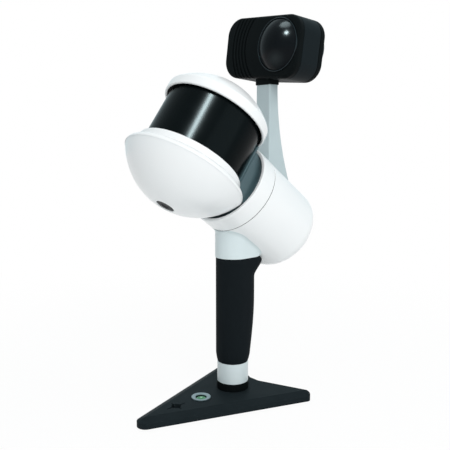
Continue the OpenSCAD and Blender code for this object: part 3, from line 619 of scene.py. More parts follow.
@dataclass
class BasePlate:
    """Arrow-shaped plate with its bubble level."""

    top: float = 8.6
    level_back: float = -41.0
    bezel_r: float = 9.3
    spirit_r: float = 5.4
    bezel_h: float = 1.0
    pocket: float = 5.0
    well: float = 1.9
    vial_r: float = 4.6
    crown: float = 1.0
    sunk: float = -0.25
    mark_r: float = 2.4
    mark_w: float = 0.1
    bubble_r: float = 1.3
    bubble_h: float = 0.12
    bubble_at: tuple[float, float] = (0.4, -0.3)
    bubble_sunk: float = 0.03
    bezel_slope: float = 1.6
    bezel_lip: float = 0.45
    bezel_hold: float = 1.1
    gap: float = 0.02
    edge: float = 0.55
    edge_turn: float = 18.0

    def build(self) -> None:
        """Builds the plate and the level."""
        plate = node_copy("plate_body", "base_plate", self.edge, self.edge_turn)
        fitted(plate, BODY, "slate_metal", SLATE_POWDER, "base_plate")
        self._level(shifted(WORLD, 0.0, self.level_back, self.top))

    def _level(self, place: Matrix) -> None:
        """Builds the level's bezel, well, spirit, bubble and centring ring.

        Args:
            place: the level's frame, on the plate's top.
        """
        crest = self.spirit_r + self.bezel_slope
        bezel = [(self.spirit_r, 0.0), (self.bezel_r, 0.0), (self.bezel_r, self.bezel_h, 0.35),
                 (crest, self.bezel_h, 0.3), (self.spirit_r, self.bezel_lip, 0.2)]
        ring = lathe("level_ring", rounded(bezel, True), place, True, 96)
        fitted(ring, BODY, "level_metal", SATIN_ALU, "level_bezel")
        seat = self.bezel_r - self.bezel_hold
        well = [(0.0, -self.pocket), (seat, -self.pocket), (seat, -self.gap), (self.spirit_r, -self.gap),
                (self.spirit_r, -self.well), (0.0, -self.well)]
        fitted(lathe("level_well", well, place, False, 96), BODY, "plug_plastic", NYLON)
        sphere = (self.vial_r ** 2 + self.crown ** 2) / (2 * self.crown)

        def skin(r: float) -> float:
            """Height of the spirit's domed face at a radius."""
            return math.sqrt(sphere ** 2 - r ** 2) - sphere - self.sunk

        dome = [(r, skin(r)) for r in (self.vial_r * (1 - k / 16) for k in range(17))]
        path = [(0.0, -self.well), (self.vial_r, -self.well)] + dome
        spirit = lathe("level_spirit", path, place, False, 96)
        fitted(spirit, BODY, "vial_green", LEVEL_SPIRIT, "level_vial")
        lie = shifted(place, *self.bubble_at, -self.sunk - self.bubble_sunk)
        turns = [math.pi * (k / 16 - 0.5) for k in range(17)]
        flat = [(self.bubble_r * math.cos(t), self.bubble_h * math.sin(t)) for t in turns]
        fitted(lathe("level_bubble", flat, lie, False, 64), BODY, "vial_green", LEVEL_BUBBLE)
        mark = arc((self.mark_r, skin(self.mark_r)), self.mark_w, 0.0, 315.0, 7)
        fitted(lathe("level_mark", mark, place, True, 72), BODY, "plug_plastic", NYLON)


def stadium(r: float, back: float, z: float, count: int = 96) -> Loop:
    """Outline of two round ends, the rear one moved back.

    Args:
        r: radius of the ends.
        back: how far the rear end is moved back.
        z: height of the outline.
        count: number of points.

    Returns:
        The points, in millimetres.
    """
    loop: Loop = []
    for k in range(count):
        turn = 2 * math.pi * (k + 0.5) / count
        shift = back if math.sin(turn) > 0 else 0.0
        loop.append(Vector((r * math.cos(turn), r * math.sin(turn) + shift, z)))
    return loop


def eased(t: float) -> float:
    """Smooth step from 0 to 1."""
    t = min(max(t, 0.0), 1.0)
    return t * t * (3 - 2 * t)


@dataclass
class Handle:
    """Collar, pale ring and grip between the plate and the housing."""

    plate_top: float = 8.6
    collar_r: float = 15.9
    collar_top: float = 16.1
    ring_r: float = 15.4
    bore_r: float = 12.1
    grip_foot: float = 36.3
    grip_top: float = 141.3
    grip_r: float = 16.7
    foot_r: float = 15.2
    foot_h: float = 11.0
    swell: float = 6.0
    swell_z: float = 101.4
    tail: float = 16.5
    tail_z: float = 123.3
    lip_z: float = 136.3
    neck_back: float = 13.0
    swell_low: float = 0.15
    tail_lead: float = 2.0
    tail_span: float = 3.0
    lip_bend: float = 1.6
    rim: float = 1.1
    top_rim: float = 0.5
    gap: float = 0.15

    def build(self, housing: "MotorHousing") -> None:
        """Builds the handle.

        Args:
            housing: what the grip's upper end lies against.
        """
        collar = [(self.bore_r, self.plate_top), (self.collar_r, self.plate_top, 0.3),
                  (self.collar_r, self.collar_top, 0.7), (self.bore_r, self.collar_top)]
        turned = lathe("handle_collar", rounded(collar, True), WORLD, True)
        fitted(turned, BODY, "black_plastic", CAMERA_PC, "plate_collar")
        ring = [(self.bore_r, self.collar_top), (self.ring_r, self.collar_top, 0.5),
                (self.ring_r, self.grip_foot, 0.5), (self.bore_r, self.grip_foot)]
        band = lathe("handle_band", rounded(ring, True), WORLD, True)
        # The white ring is drawn in pale grey: painted shade
        fitted(band, BODY, "white_plastic", PAINTED_SHADE_ABS, "handle_ring")
        fitted(self._grip(housing), BODY, "grip_rubber", GRIP_RUBBER, "grip_sleeve")

    def _section(self, z: float) -> tuple[float, float]:
        """Radius and reach back of the grip at a height.

        Args:
            z: the height.

        Returns:
            The radius of the round ends and how far the rear one is moved back.
        """
        climb = min((z - self.grip_foot) / self.foot_h, 1.0)
        r = self.foot_r + (self.grip_r - self.foot_r) * math.sin(climb * math.pi / 2)
        start = self.grip_foot + self.foot_h
        rise = min(max(z - start, 0.0) / (self.swell_z - start), 1.0)
        back = self.swell * (self.swell_low * climb + (1 - self.swell_low) * math.sin(rise * math.pi / 2))
        onset = (z - self.tail_z + self.tail_lead) / (self.lip_z - self.tail_z + self.tail_span)
        back += (self.tail - self.swell) * eased(onset)
        if z > self.lip_z:
            over = (z - self.lip_z) / (self.grip_top - self.lip_z)
            back -= (self.tail - self.neck_back) * over ** self.lip_bend
        return r, back

    def _grip(self, housing: "MotorHousing") -> Piece:
        """Builds the over-moulded grip.

        Args:
            housing: what cuts the grip's upper end.

        Returns:
            The grip.
        """
        loops: list[Loop] = []
        r, back = self._section(self.grip_foot)
        for turn in quarter(6):
            inset, lift = self.rim * (1 - math.sin(turn)), self.rim * (1 - math.cos(turn))
            loops.append(stadium(r - inset, back, self.grip_foot + lift))
        low, steps = self.grip_foot + self.rim, 72
        for k in range(1, steps):
            z = low + (self.grip_top - low) * k / steps
            loops.append(stadium(*self._section(z), z))
        r, back = self._section(self.grip_top)
        for turn in quarter(4):
            inset, sink = self.top_rim * (1 - math.cos(turn)), self.top_rim * (1 - math.sin(turn))
            loops.append(stadium(r - inset, back, self.grip_top - sink))
        for point in (p for loop in loops for p in loop):
            point.z = min(point.z, housing.under(point.x, point.y) - self.gap)
        return loft("grip", loops, WORLD)


@dataclass
class MotorHousing:
    """Tilted white housing with its neck and the fittings on its rear face."""

    r: float = 42.5
    inner_r: float = 39.0
    rear: float = -45.5
    inner_rear: float = -42.0
    round_r: float = 16.0
    front: float = 33.7
    neck_r: float = 17.4
    neck_back: float = 13.0
    neck_foot: float = 141.3
    blend: float = 2.6
    fit_y: float = 14.0
    button_r: float = 5.5
    button_proud: float = 1.2
    button_gap: float = 0.3
    socket_r: float = 6.5
    socket_barrel_r: float = 5.5
    socket_bore_r: float = 4.0
    socket_depth: float = 6.5
    socket_flange: float = 1.5
    socket_wall: float = 1.5
    pins: int = 6
    pins_r: float = 2.4
    light_x: float = 12.0
    light_r: float = 1.5
    light_proud: float = 0.4
    light_dome: float = 0.3
    hole_gap: float = 0.1
    hole_lip: float = 0.5
    drill_over: float = 2.0
    seal_in: float = 0.35
    seal_back: float = 0.05
    seal_front: float = 0.5
    neck_rim: float = 0.4
    neck_taper: float = 0.985
    neck_low: float = 0.1
    neck_inset: float = 0.05
    neck_tuck: tuple[float, float, float] = (0.0, 0.6, 1.2)
    blend_share: float = 0.8
    dish: float = 0.35
    dish_rim: float = 1.0
    flange_front: float = -41.8
    flange_rear: float = -40.6
    flange_w: float = 1.2

    def under(self, x: float, y: float) -> float:
        """Height of the housing's underside over a point.

        Args:
            x: across, in millimetres.
            y: along, in millimetres.

        Returns:
            The height; beyond the housing's sides, that of its side line.
        """
        base, lift = MOTOR.translation / MM, MOTOR.col[1].to_3d()
        depth = -math.sqrt(max(self.r ** 2 - x ** 2, 0.0))
        return base.z + (depth - lift.y * (y - base.y)) / lift.z

    def build(self) -> None:
        """Builds the housing, its neck and its rear fittings."""
        inner_round = self.round_r - self.r + self.inner_r
        path = [(0.0, self.rear), (self.r, self.rear, self.round_r), (self.r, self.front, 0.5),
                (self.inner_r, self.front, 0.3), (self.inner_r, self.inner_rear, inner_round),
                (0.0, self.inner_rear)]
        shell = lathe("housing", rounded(path, False, 16), MOTOR, False, 192)
        holes = ((0.0, self.fit_y, self.button_r + self.button_gap),
                 (0.0, -self.fit_y, self.socket_barrel_r + self.hole_gap),
                 (self.light_x, 0.0, self.light_r + self.hole_gap))
        bits = [self._bit(x, y, r) for x, y, r in holes]
        fitted(cut(baked(shell), bits), BODY, "white_plastic", WHITE_ABS, "housing_shell")
        # The neck is drawn in pale grey: painted shade for the shade under the housing and the head
        fitted(self._neck(), BODY, "white_plastic", PAINTED_SHADE_ABS)
        low, high, out = self.front + self.seal_back, self.front + self.seal_front, self.r - self.seal_in
        lip = [(self.inner_r, low), (out, low), (out, high), (self.inner_r, high)]
        fitted(lathe("seam_seal", lip, MOTOR, True, 192), BODY, "gasket_rubber", GASKET_RUBBER)
        self._button()
        self._socket()
        self._light()

    def _bit(self, x: float, y: float, r: float) -> Piece:
        """A drill for a hole through the rear wall.

        Args:
            x: across the rear face.
            y: up the rear face.
            r: radius of the hole.

        Returns:
            The drill.
        """
        place = shifted(MOTOR, x, y, 0.0)
        mouth = r + self.hole_lip
        start, end = self.rear - self.drill_over, self.inner_rear + self.drill_over
        path = [(0.0, start), (mouth, start), (mouth, self.rear - 0.01), (r, self.rear + self.hole_lip),
                (r, end), (0.0, end)]
        return baked(lathe("drill", path, place, False, 64))

    def _neck(self) -> Piece:
        """Builds the neck, blended into the housing.

        Returns:
            The neck.
        """
        base, m = MOTOR.translation / MM, MOTOR.col[2].to_3d()

        def seated(point: Vector) -> Vector:
            """The point, moved back along the motor axis behind the housing's front face."""
            over = (point - base).dot(m) - (self.front - self.neck_inset)
            return point - m * over if over > 0 else point

        foot = stadium(self.neck_r, self.neck_back, self.neck_foot, 128)
        start_z = self.neck_foot + self.neck_rim
        loops: list[Loop] = [[Vector((p.x * self.neck_taper, p.y * self.neck_taper, p.z)) for p in foot]]
        loops.append([Vector((p.x, p.y, start_z)) for p in foot])
        blends = []
        for i, p in enumerate(foot):
            side = (foot[(i + 1) % len(foot)] - foot[i - 1]).normalized()
            out = Vector((side.y, -side.x, 0.0))
            top = max(self.under(p.x, p.y), start_z + self.neck_low)
            size = min(self.blend, max(top - start_z, 0.0) * self.blend_share)
            end = p + out * size
            end.z = max(self.under(end.x, end.y), start_z + self.neck_low)
            blends.append((Vector((p.x, p.y, top - size)), Vector((p.x, p.y, top)), end))
        for k in range(1, 9):
            loops.append([a.lerp(b[0], k / 8) for a, b in zip(loops[1], blends)])
        for t in (k / 10 for k in range(1, 11)):
            loops.append([a * (1 - t) ** 2 + b * (2 * t * (1 - t)) + c * t ** 2 for a, b, c in blends])
        loops.append([c.lerp(b, 0.3) + Vector(self.neck_tuck) for _, b, c in blends])
        return loft("housing_neck", [[seated(p) for p in loop] for loop in loops], WORLD)

    def _button(self) -> None:
        """Builds the power button, with a dished face."""
        place = shifted(MOTOR, 0.0, self.fit_y, 0.0)
        face = self.rear - self.button_proud
        land, wide = self.button_r - self.dish_rim, self.button_r + self.flange_w
        dish = [(r, face + self.dish * (1 - (r / land) ** 2)) for r in (0.0, 1.0, 2.0, 3.0, 4.0)]
        side = [(land, face), (self.button_r, face, 0.5), (self.button_r, self.flange_front),
                (wide, self.flange_front, 0.2), (wide, self.flange_rear, 0.2), (0.0, self.flange_rear)]
        path = dish + rounded(side, False)
        fitted(lathe("button_cap", path, place, False, 72), "button", "plug_plastic", NYLON, "power_button")

    def _socket(self) -> None:
        """Builds the cable socket and its contact pins."""
        place = shifted(MOTOR, 0.0, -self.fit_y, self.rear - self.socket_flange)
        deep, end = self.socket_depth, self.socket_depth + self.socket_wall
        path = [(0.0, deep), (self.socket_bore_r, deep, 0.3), (self.socket_bore_r, 0.0, 0.4),
                (self.socket_r, 0.0, 0.5), (self.socket_r, self.socket_flange, 0.2),
                (self.socket_barrel_r, self.socket_flange), (self.socket_barrel_r, end, 0.3), (0.0, end)]
        socket = lathe("socket", rounded(path, False), place, False, 72)
        fitted(socket, BODY, "plug_plastic", NYLON, "cable_socket")
        point = [(0.0, 2.2), (0.25, 2.3), (0.38, 2.7), (0.38, deep), (0.0, deep)]
        pin = baked(lathe("socket_pins", point, WORLD, False, 16))
        fitted(ring_of(pin, self.pins, self.pins_r, place, GILT), BODY, "bush_brass", GILT)

    def _light(self) -> None:
        """Builds the status light's domed pipe."""
        place = shifted(MOTOR, self.light_x, 0.0, 0.0)
        tip = self.rear - self.light_proud
        dome = [(self.light_r * k / 6, tip + self.light_dome * (k / 6) ** 2) for k in range(7)]
        path = dome + [(self.light_r, self.inner_rear), (0.0, self.inner_rear)]
        fitted(lathe("light_pipe", path, place, False, 48), BODY, "light_blue", LIGHT_PIPE, "status_light")


@dataclass
class Rotor:
    """Turning ring in front of the housing, with the grey bracket that carries the lidar."""

    r: float = 42.5
    cup_r: float = 39.1
    back: float = 34.3
    floor: float = 38.5
    front: float = 52.0
    shaft_r: float = 8.03
    reach: float = 102.0
    spine_in: float = 47.5
    spine_out: float = 50.9
    spine_half: float = 22.0
    web_half: float = 18.0
    web_low: float = -9.1
    web_high: float = 33.9
    spine_top: float = 38.8
    head_r: float = 51.5
    head_top: float = 72.0
    hub_r: float = 17.0
    dish_drop: float = 1.0
    dish_bend: float = 0.985
    saddle_r: float = 49.4
    saddle_half: float = 24.0
    web_fall: float = 2.2
    fillet: float = 5.0
    gap: float = 0.05
    web_crease: float = 60.0

    def build(self) -> None:
        """Builds the ring, the spine and the scooped web."""
        path = [(self.shaft_r, self.back), (self.r, self.back, 0.5), (self.r, self.front, 1.1),
                (self.cup_r, self.front, 0.7), (self.cup_r, self.floor), (self.shaft_r, self.floor)]
        ring = baked(lathe("rotor", rounded(path, True), MOTOR, True, 192))
        room = [(0.0, 0.0), (self.head_r, 0.0), (self.head_r, self.head_top), (0.0, self.head_top)]
        cut(ring, [baked(lathe("head_room", room, LIDAR, False, 192))])
        fitted(ring, HEAD, "white_plastic", WHITE_ABS, "rotor_ring")
        fitted(self._spine(), HEAD, "bracket_metal", BRACKET_GREY_AND_SHADE, "head_bracket")
        # The web's grey in the rotor's cup is partly painted shade
        fitted(self._scoop(), HEAD, "bracket_metal", BRACKET_GREY_AND_SHADE)

    def _spine(self) -> Piece:
        """Builds the curved spine behind the window.

        Returns:
            The spine.
        """
        half = math.asin(self.spine_half / self.spine_out)
        middle = (self.spine_in + self.spine_out) / 2
        thick = (self.spine_out - self.spine_in) / 2
        section: list[tuple[float, float]] = []
        for sign, face in ((1, self.spine_out), (-1, self.spine_in)):
            section += [(face, sign * half * (1 - 2 * k / 32)) for k in range(33)]
            for turn in (math.pi * k / 8 for k in range(1, 8)):
                past = half + math.sin(turn) * thick / middle
                section.append((middle + sign * thick * math.cos(turn), -sign * past))
        heights = [self.web_low + (self.spine_top - self.web_low) * k / 12 for k in range(13)]
        loops = [[Vector((r * math.sin(t), r * math.cos(t), z)) for r, t in section] for z in heights]
        return loft("lidar_spine", loops, LIDAR)

    def _height(self, x: float, y: float) -> float:
        """Height of the scooped web inside the rotor's cup.

        Args:
            x: across the cup.
            y: up the cup.

        Returns:
            The station along the motor axis.
        """
        rise = min(max((math.hypot(x, y) - self.hub_r) / (self.cup_r - self.hub_r), 0.0), 1.0)
        lift = self.front - self.dish_drop - self.floor
        dish = self.floor + lift * (1 - math.sqrt(1 - self.dish_bend * rise ** 2))
        crest = self.reach - math.sqrt(self.saddle_r ** 2 - min(abs(x), self.saddle_half) ** 2)
        out = max(abs(x) - self.web_half, self.web_low - y, y - self.web_high, 0.0)
        web = crest - self.web_fall * out
        mix = max(self.fillet - abs(web - dish), 0.0) / self.fillet
        return max(web, dish) + mix * mix * self.fillet / 4

    def _scoop(self) -> Piece:
        """Builds the web that runs out into the rotor's cup; its dark grey there is partly painted shade in the
        cup's hollow.

        Returns:
            The web.
        """
        rings, spokes = 40, 160
        rim, foot = self.cup_r - self.gap, self.floor + 0.02
        turns = [2 * math.pi * i / spokes for i in range(spokes)]
        bm = bmesh.new()
        rows: list[Row] = []
        for r in (rim * k / rings for k in range(1, rings + 1)):
            circle = [(r * math.cos(t), r * math.sin(t)) for t in turns]
            rows.append([bm.verts.new((x, y, self._height(x, y))) for x, y in circle])
        rows.append([bm.verts.new((rim * math.cos(t), rim * math.sin(t), foot)) for t in turns])
        for low, high in zip(rows, rows[1:]):
            bridge(bm, low, high)
        fan(bm, rows[0], bm.verts.new((0.0, 0.0, self._height(0.0, 0.0))))
        fan(bm, rows[-1], bm.verts.new((0.0, 0.0, foot)))
        return mesh_object("lidar_web_painted_shade", bm, MOTOR, self.web_crease)


@dataclass
class LidarHead:
    """Bowl, neck ring, window and cap, turned about the lidar axis."""

    window_r: float = 46.5
    window_in: float = 43.5
    window_foot: float = -14.1
    window_top: float = 43.0
    neck_r: float = 51.0
    neck_low: float = -17.1
    neck_top: float = -9.1
    flare: float = 1.9
    ledge_r: float = 40.0
    bowl_r: float = 58.6
    bowl_pole: float = -58.2
    rim_r: float = 5.7
    dome_r: float = 65.5
    wall: float = 3.0
    plug_r: float = 8.6
    plug_sink: float = 1.2
    cap_r: float = 51.0
    cap_low: float = 38.8
    cap_top: float = 72.0
    cap_hole: float = 48.5
    cap_break: float = 1.6
    gap: float = 0.1
    plug_h: float = 4.0
    plug_step: float = 0.4
    dimple_r: float = 3.2
    dimple_deep: float = 0.5

    def build(self) -> Piece:
        """Builds the head.

        Returns:
            The window.
        """
        fitted(self._bowl(), HEAD, "white_plastic", WHITE_ABS, "lower_bowl")
        self._plug()
        flare = arc((self.neck_r + self.flare, self.neck_low + self.flare), self.flare, 270.0, 180.0, 8)
        bore = self.window_r + self.gap
        edge = [(self.neck_r, self.neck_top, 2.0), (bore, self.neck_top, 0.3)]
        foot = [(bore, self.window_foot), (self.ledge_r, self.window_foot), (self.ledge_r, self.neck_low)]
        ring = lathe("neck_band", rounded(flare + edge + foot, True), LIDAR, True, 192)
        fitted(ring, HEAD, "white_plastic", WHITE_ABS, "neck_ring")
        tube = [(self.window_in, self.window_foot), (self.window_r, self.window_foot, 0.3),
                (self.window_r, self.window_top, 0.5), (self.window_in, self.window_top)]
        window = lathe("window", rounded(tube, True), LIDAR, True, 192)
        fitted(self._cap(), HEAD, "white_plastic", WHITE_ABS, "top_cap")
        return fitted(window, HEAD, "window_black", WINDOW_PC, "lidar_window")

    def _bowl(self) -> Piece:
        """Builds the thin-walled bowl.

        Returns:
            The bowl.
        """
        hub = self.bowl_pole + self.dome_r
        hole = self.plug_r + self.gap

        def skin(shrink: float, first: float) -> Path:
            """One side of the wall, from the plug's hole to the rim.

            Args:
                shrink: how far it lies inside the outer side.
                first: radius at which it starts.

            Returns:
                The points of its section.
            """
            sphere, side = self.dome_r - shrink, self.bowl_r - shrink
            start = -math.degrees(math.acos(first / sphere))
            end = -math.degrees(math.acos(side / sphere))
            path = arc((0.0, hub), sphere, start, end, 48)
            rim = self.rim_r - shrink
            turn = arc((side - rim, self.neck_low - self.rim_r), rim, 0.0, 90.0, 10)
            return path + turn

        outer = skin(0.0, hole + 0.6)
        inner = skin(self.wall, hole)
        edge = [(hole + 0.25, outer[0][1] + 0.12), (hole, outer[0][1] + 0.5)]
        ledge = [(self.ledge_r, self.neck_low), (self.ledge_r, self.neck_low - self.wall)]
        return lathe("bowl", edge[::-1] + outer + ledge + inner[::-1], LIDAR, True, 192)

    def _plug(self) -> None:
        """Builds the sunk plug at the bowl's pole."""
        low = self.bowl_pole + self.plug_sink
        deep, step, top = low + self.dimple_deep, low + self.plug_step, low + self.plug_h
        path = [(0.0, deep), (self.dimple_r, deep, 0.3), (self.dimple_r + 0.4, low, 0.2),
                (self.plug_r - 1.2, low, 0.2), (self.plug_r - 0.8, step, 0.2), (self.plug_r, step, 0.2),
                (self.plug_r, top), (0.0, top)]
        plug = lathe("pole_plug", rounded(path, False), LIDAR, False, 72)
        fitted(plug, HEAD, "plug_plastic", NYLON, "bowl_plug")

    def _cap(self) -> Piece:
        """Builds the domed cap with its rounded lip.

        Returns:
            The cap.
        """
        hub = self.cap_top - self.dome_r
        shoulder = hub + math.sqrt(self.dome_r ** 2 - self.cap_r ** 2)
        lip = [(0.0, self.window_top), (self.cap_hole, self.window_top), (self.cap_hole, self.cap_low, 0.9),
               (self.cap_r, self.cap_low, self.cap_break), (self.cap_r, shoulder, 3.5)]
        start = math.degrees(math.acos((self.cap_r - self.cap_break) / self.dome_r))
        dome = arc((0.0, hub), self.dome_r, start, 90.0, 56)
        path = rounded(lip + [dome[0], dome[1]], False, 8)[:-1] + dome[1:-1] + [(0.0, self.cap_top)]
        return lathe("cap", path, LIDAR, False, 192)


def slab_outline(w: float, d: float, r: float, per: int = 10) -> list[tuple[Vector, Vector]]:
    """Points of a rounded rectangle with their outward directions.

    Args:
        w: half width.
        d: half depth.
        r: corner radius.
        per: pieces of a corner.

    Returns:
        Pairs of point and outward direction, in the plane of the rectangle.
    """
    line: list[tuple[Vector, Vector]] = []
    for number, (sx, sy) in enumerate(((1, 1), (-1, 1), (-1, -1), (1, -1))):
        for k in range(per + 1):
            turn = math.pi / 2 * (number + k / per)
            out = Vector((math.cos(turn), math.sin(turn)))
            line.append((Vector((sx * (w - r), sy * (d - r))) + out * r, out))
    return line


@dataclass
class Mast:
    """Pale mast that flares towards the housing, with the black collar under the camera."""

    top: float = 307.7
    face: float = 39.5
    w: float = 19.0
    d: float = 11.8
    flare_r: float = 266.0
    edge: float = 1.6
    collar_rim: float = 1.0
    collar_edge: float = 0.6
    collar_corner: float = 2.2
    collar_gap: float = 0.05
    seat: float = 42.55

    def build(self, camera: "PanoramaCamera") -> None:
        """Builds the mast and its collar.

        Args:
            camera: what stands on the collar.
        """
        fitted(self._post(), BODY, "pale_metal", MAST_POWDER, "mast")
        fitted(self._collar(camera), BODY, "black_plastic", CAMERA_PC, "mast_collar")

    def _foot(self, x: float, y: float) -> float:
        """Height of the housing's upper side under a point of the mast."""
        base, lift = MOTOR.translation / MM, MOTOR.col[1].to_3d()
        return base.z + (math.sqrt(self.seat ** 2 - x ** 2) - lift.y * (y - base.y)) / lift.z

    def _rear(self, z: float) -> float:
        """Depth of the mast at a height."""
        return self.d + self.flare_r - math.sqrt(self.flare_r ** 2 - (self.top - z) ** 2)

    def _post(self) -> Piece:
        """Builds the mast itself.

        Returns:
            The mast.
        """
        steps, rounds = 40, 6
        count = len(slab_outline(self.w / 2, self.d / 2, self.edge, 6))
        loops: list[Loop] = []
        for k in range(steps + 1):
            loop = [Vector((0.0, 0.0, self.top)) for _ in range(count)]
            for point in (i for _ in range(rounds) for i in range(count)):
                depth = self._rear(loop[point].z)
                flat, _ = slab_outline(self.w / 2, depth / 2, self.edge, 6)[point]
                y = self.face + depth / 2 + flat.y
                loop[point] = Vector((flat.x, y, self.top + (self._foot(flat.x, y) - self.top) * k / steps))
            loops.append(loop)
        return weigh_normals(loft("mast_post", loops, WORLD, crease=40.0))

    def _collar(self, camera: "PanoramaCamera") -> Piece:
        """Builds the collar, which ends on the camera's underside.

        Args:
            camera: the camera.

        Returns:
            The collar.
        """
        w, d = self.w / 2 + self.collar_rim, self.d / 2 + self.collar_rim
        line = slab_outline(w, d, self.collar_corner, 6)
        middle = Vector((0.0, self.face + self.d / 2, self.top))
        loops: list[Loop] = []
        for turn in quarter(4):
            inset = self.collar_edge * (1 - math.sin(turn))
            lift = Vector((0.0, 0.0, self.collar_edge * (1 - math.cos(turn))))
            loops.append([middle + lift + (p - o * inset).to_3d() for p, o in line])
        loops.append([Vector((p.x, p.y, camera.underside(p.x, p.y) + self.collar_gap)) for p in loops[-1]])
        return loft("camera_foot", loops, WORLD)


@dataclass
class PanoramaCamera:
    """Black two-lens camera that leans a little on its mast."""

    middle: tuple[float, float, float] = (0.0, 53.7, 342.1)
    pitch: float = 3.9
    roll: float = 4.5
    w: float = 98.6
    h: float = 59.2
    d: float = 39.0
    corner: float = 16.8
    shell: float = 7.5
    crown_r: float = 275.0
    edge: float = 3.0
    seam: float = 0.6
    lens_x: float = 23.0
    lens_z: float = 1.6
    ring_r: float = 25.1
    ring_w: float = 0.9
    ring_proud: float = 0.5
    dome_r: float = 31.0
    seat: float = 0.4
    grooves: int = 5
    groove_pitch: float = 4.4
    groove_w: float = 1.7
    groove_deep: float = 1.2
    groove_edge: float = 10.8
    groove_at: float = 22.6
    groove_past: float = 1.5
    groove_break: float = 0.4
    groove_draft: float = 0.3
    soft: float = 40.0

    @property
    def place(self) -> Matrix:
        """The camera's frame in the CAD frame."""
        lean = Matrix.Rotation(math.radians(self.roll), 4, "Y")
        return shifted(WORLD, *self.middle) @ lean @ Matrix.Rotation(math.radians(-self.pitch), 4, "X")

    def underside(self, x: float, y: float) -> float:
        """Height of the camera's underside over a point.

        Args:
            x: across, in millimetres.
            y: along, in millimetres.

        Returns:
            The height.
        """
        up = self.place.col[2].to_3d()
        side, back, rise = self.middle
        return rise + (-self.h / 2 - up.x * (x - side) - up.y * (y - back)) / up.z

    def face(self, z: float) -> float:
        """Depth of the crowned front face at a height."""
        return -self.d / 2 + self.crown_r - math.sqrt(self.crown_r ** 2 - z ** 2)

    def build(self) -> list[Piece]:
        """Builds the shells, the body and both lenses.

        Returns:
            The domes of the lenses.
        """
        behind = self.place @ Matrix.Rotation(math.pi, 4, "Z")
        cutters = [self._groove_cutter(i) for i in range(self.grooves)]
        bit = self._lens_bit(self.place, self.lens_x)
        front = cut(self._shell("camera_face", self.place), [bit] + cutters)
        fitted(front, BODY, "black_plastic", CAMERA_PC, "camera_front_shell")
        rear = cut(self._shell("camera_back", behind), [self._lens_bit(behind, -self.lens_x)])
        fitted(rear, BODY, "black_plastic", CAMERA_PC, "camera_rear_shell")
        # The body's lighter slate grey is painted light on the camera's sides and underside
        fitted(self._frame(), BODY, "black_plastic", PAINTED_LIGHT_PC, "camera_body")
        return [self._lens("front", self.place, self.lens_x), self._lens("rear", behind, -self.lens_x)]

    def _shell(self, name: str, place: Matrix) -> Piece:
        """Builds a crowned end shell with a soft edge.

        Args:
            name: the piece's name.
            place: the frame, with the shell towards -Y.

        Returns:
            The shell.
        """
        line = slab_outline(self.w / 2, self.h / 2, self.corner, 12)
        seam = -self.d / 2 + self.shell
        loops: list[Loop] = [[Vector((p.x, seam, p.y)) for p, _ in line]]
        for turn in quarter(8):
            loop: Loop = []
            for p, out in line:
                size = min(self.edge, 0.8 * (seam - self.face(p.y)))
                q = p - out * size * (1 - math.cos(turn))
                loop.append(Vector((q.x, self.face(q.y) + size * (1 - math.sin(turn)), q.y)))
            loops.append(loop)
        last = loops[-1]
        for k in range(1, 16):
            s = 1 - k / 16
            loops.append([Vector((p.x * s, self.face(p.z * s), p.z * s)) for p in last])
        return loft(name, loops, place, crease=self.soft)

    def _lens_axis(self, place: Matrix, x: float) -> Matrix:
        """Frame of a lens, with its axis as Z."""
        return shifted(place, x, 0.0, self.lens_z) @ Matrix.Rotation(math.pi / 2, 4, "X")

    def _lens_bit(self, place: Matrix, x: float) -> Piece:
        """A drill for the lens ring's hole.

        Args:
            place: the shell's frame.
            x: where the lens stands.

        Returns:
            The drill.
        """
        r, start, end = self.ring_r + 0.1, 5.0, 30.0
        path = [(0.0, start), (r, start), (r, end), (0.0, end)]
        return baked(lathe("drill", path, self._lens_axis(place, x), False, 128))

    def _groove_floor(self, z: float) -> float:
        """Depth of a groove's floor at a height, round the shell's edge as well.

        Args:
            z: the height.

        Returns:
            The depth, from the camera's middle.
        """
        start, inner = self.h / 2 - self.edge, self.edge - self.groove_deep
        over = abs(z) - start
        if over <= 0.0:
            return self.face(z) + self.groove_deep
        if over < inner:
            return self.face(start) + self.edge - math.sqrt(inner ** 2 - over ** 2)
        return self.shell - self.d / 2 - 1.0

    def _groove_cutter(self, number: int) -> Piece:
        """A curved bar round the lens axis that cuts one grip groove.

        Args:
            number: which groove, from the camera's side.

        Returns:
            The cutter.
        """
        r = self.groove_at + self.w / 2 - self.groove_edge - number * self.groove_pitch
        reach = math.asin((self.h / 2 + self.lens_z + self.groove_past) / r)
        low, high, soft, steps = r - self.groove_w / 2, r + self.groove_w / 2, self.groove_break, 72
        loops: list[Loop] = []
        for turn in (math.pi - reach + 2 * reach * k / steps for k in range(steps + 1)):
            floor = self._groove_floor(self.lens_z + r * math.sin(turn))
            section = ((low - self.groove_draft, -self.d), (low, floor - soft), (low + soft, floor),
                       (high - soft, floor), (high, floor - soft), (high + self.groove_draft, -self.d))
            loops.append([Vector((self.lens_x + a * math.cos(turn), y, self.lens_z + a * math.sin(turn)))
                          for a, y in section])
        return loft("groove", loops, self.place)

    def _frame(self) -> Piece:
        """Builds the middle body between two fine seams.

        Returns:
            The body.
        """
        end = self.d / 2 - self.shell
        steps = [(self.seam, end), (self.seam, end - 0.45), (0.15, end - 0.6), (0.0, end - 0.8)]
        rows = [(inset, -y) for inset, y in steps] + [(inset, y) for inset, y in reversed(steps)]
        line = slab_outline(self.w / 2, self.h / 2, self.corner, 12)
        loops = [[Vector(((p - o * inset).x, y, (p - o * inset).y)) for p, o in line] for inset, y in rows]
        return weigh_normals(loft("camera_case", loops, self.place, crease=self.soft))

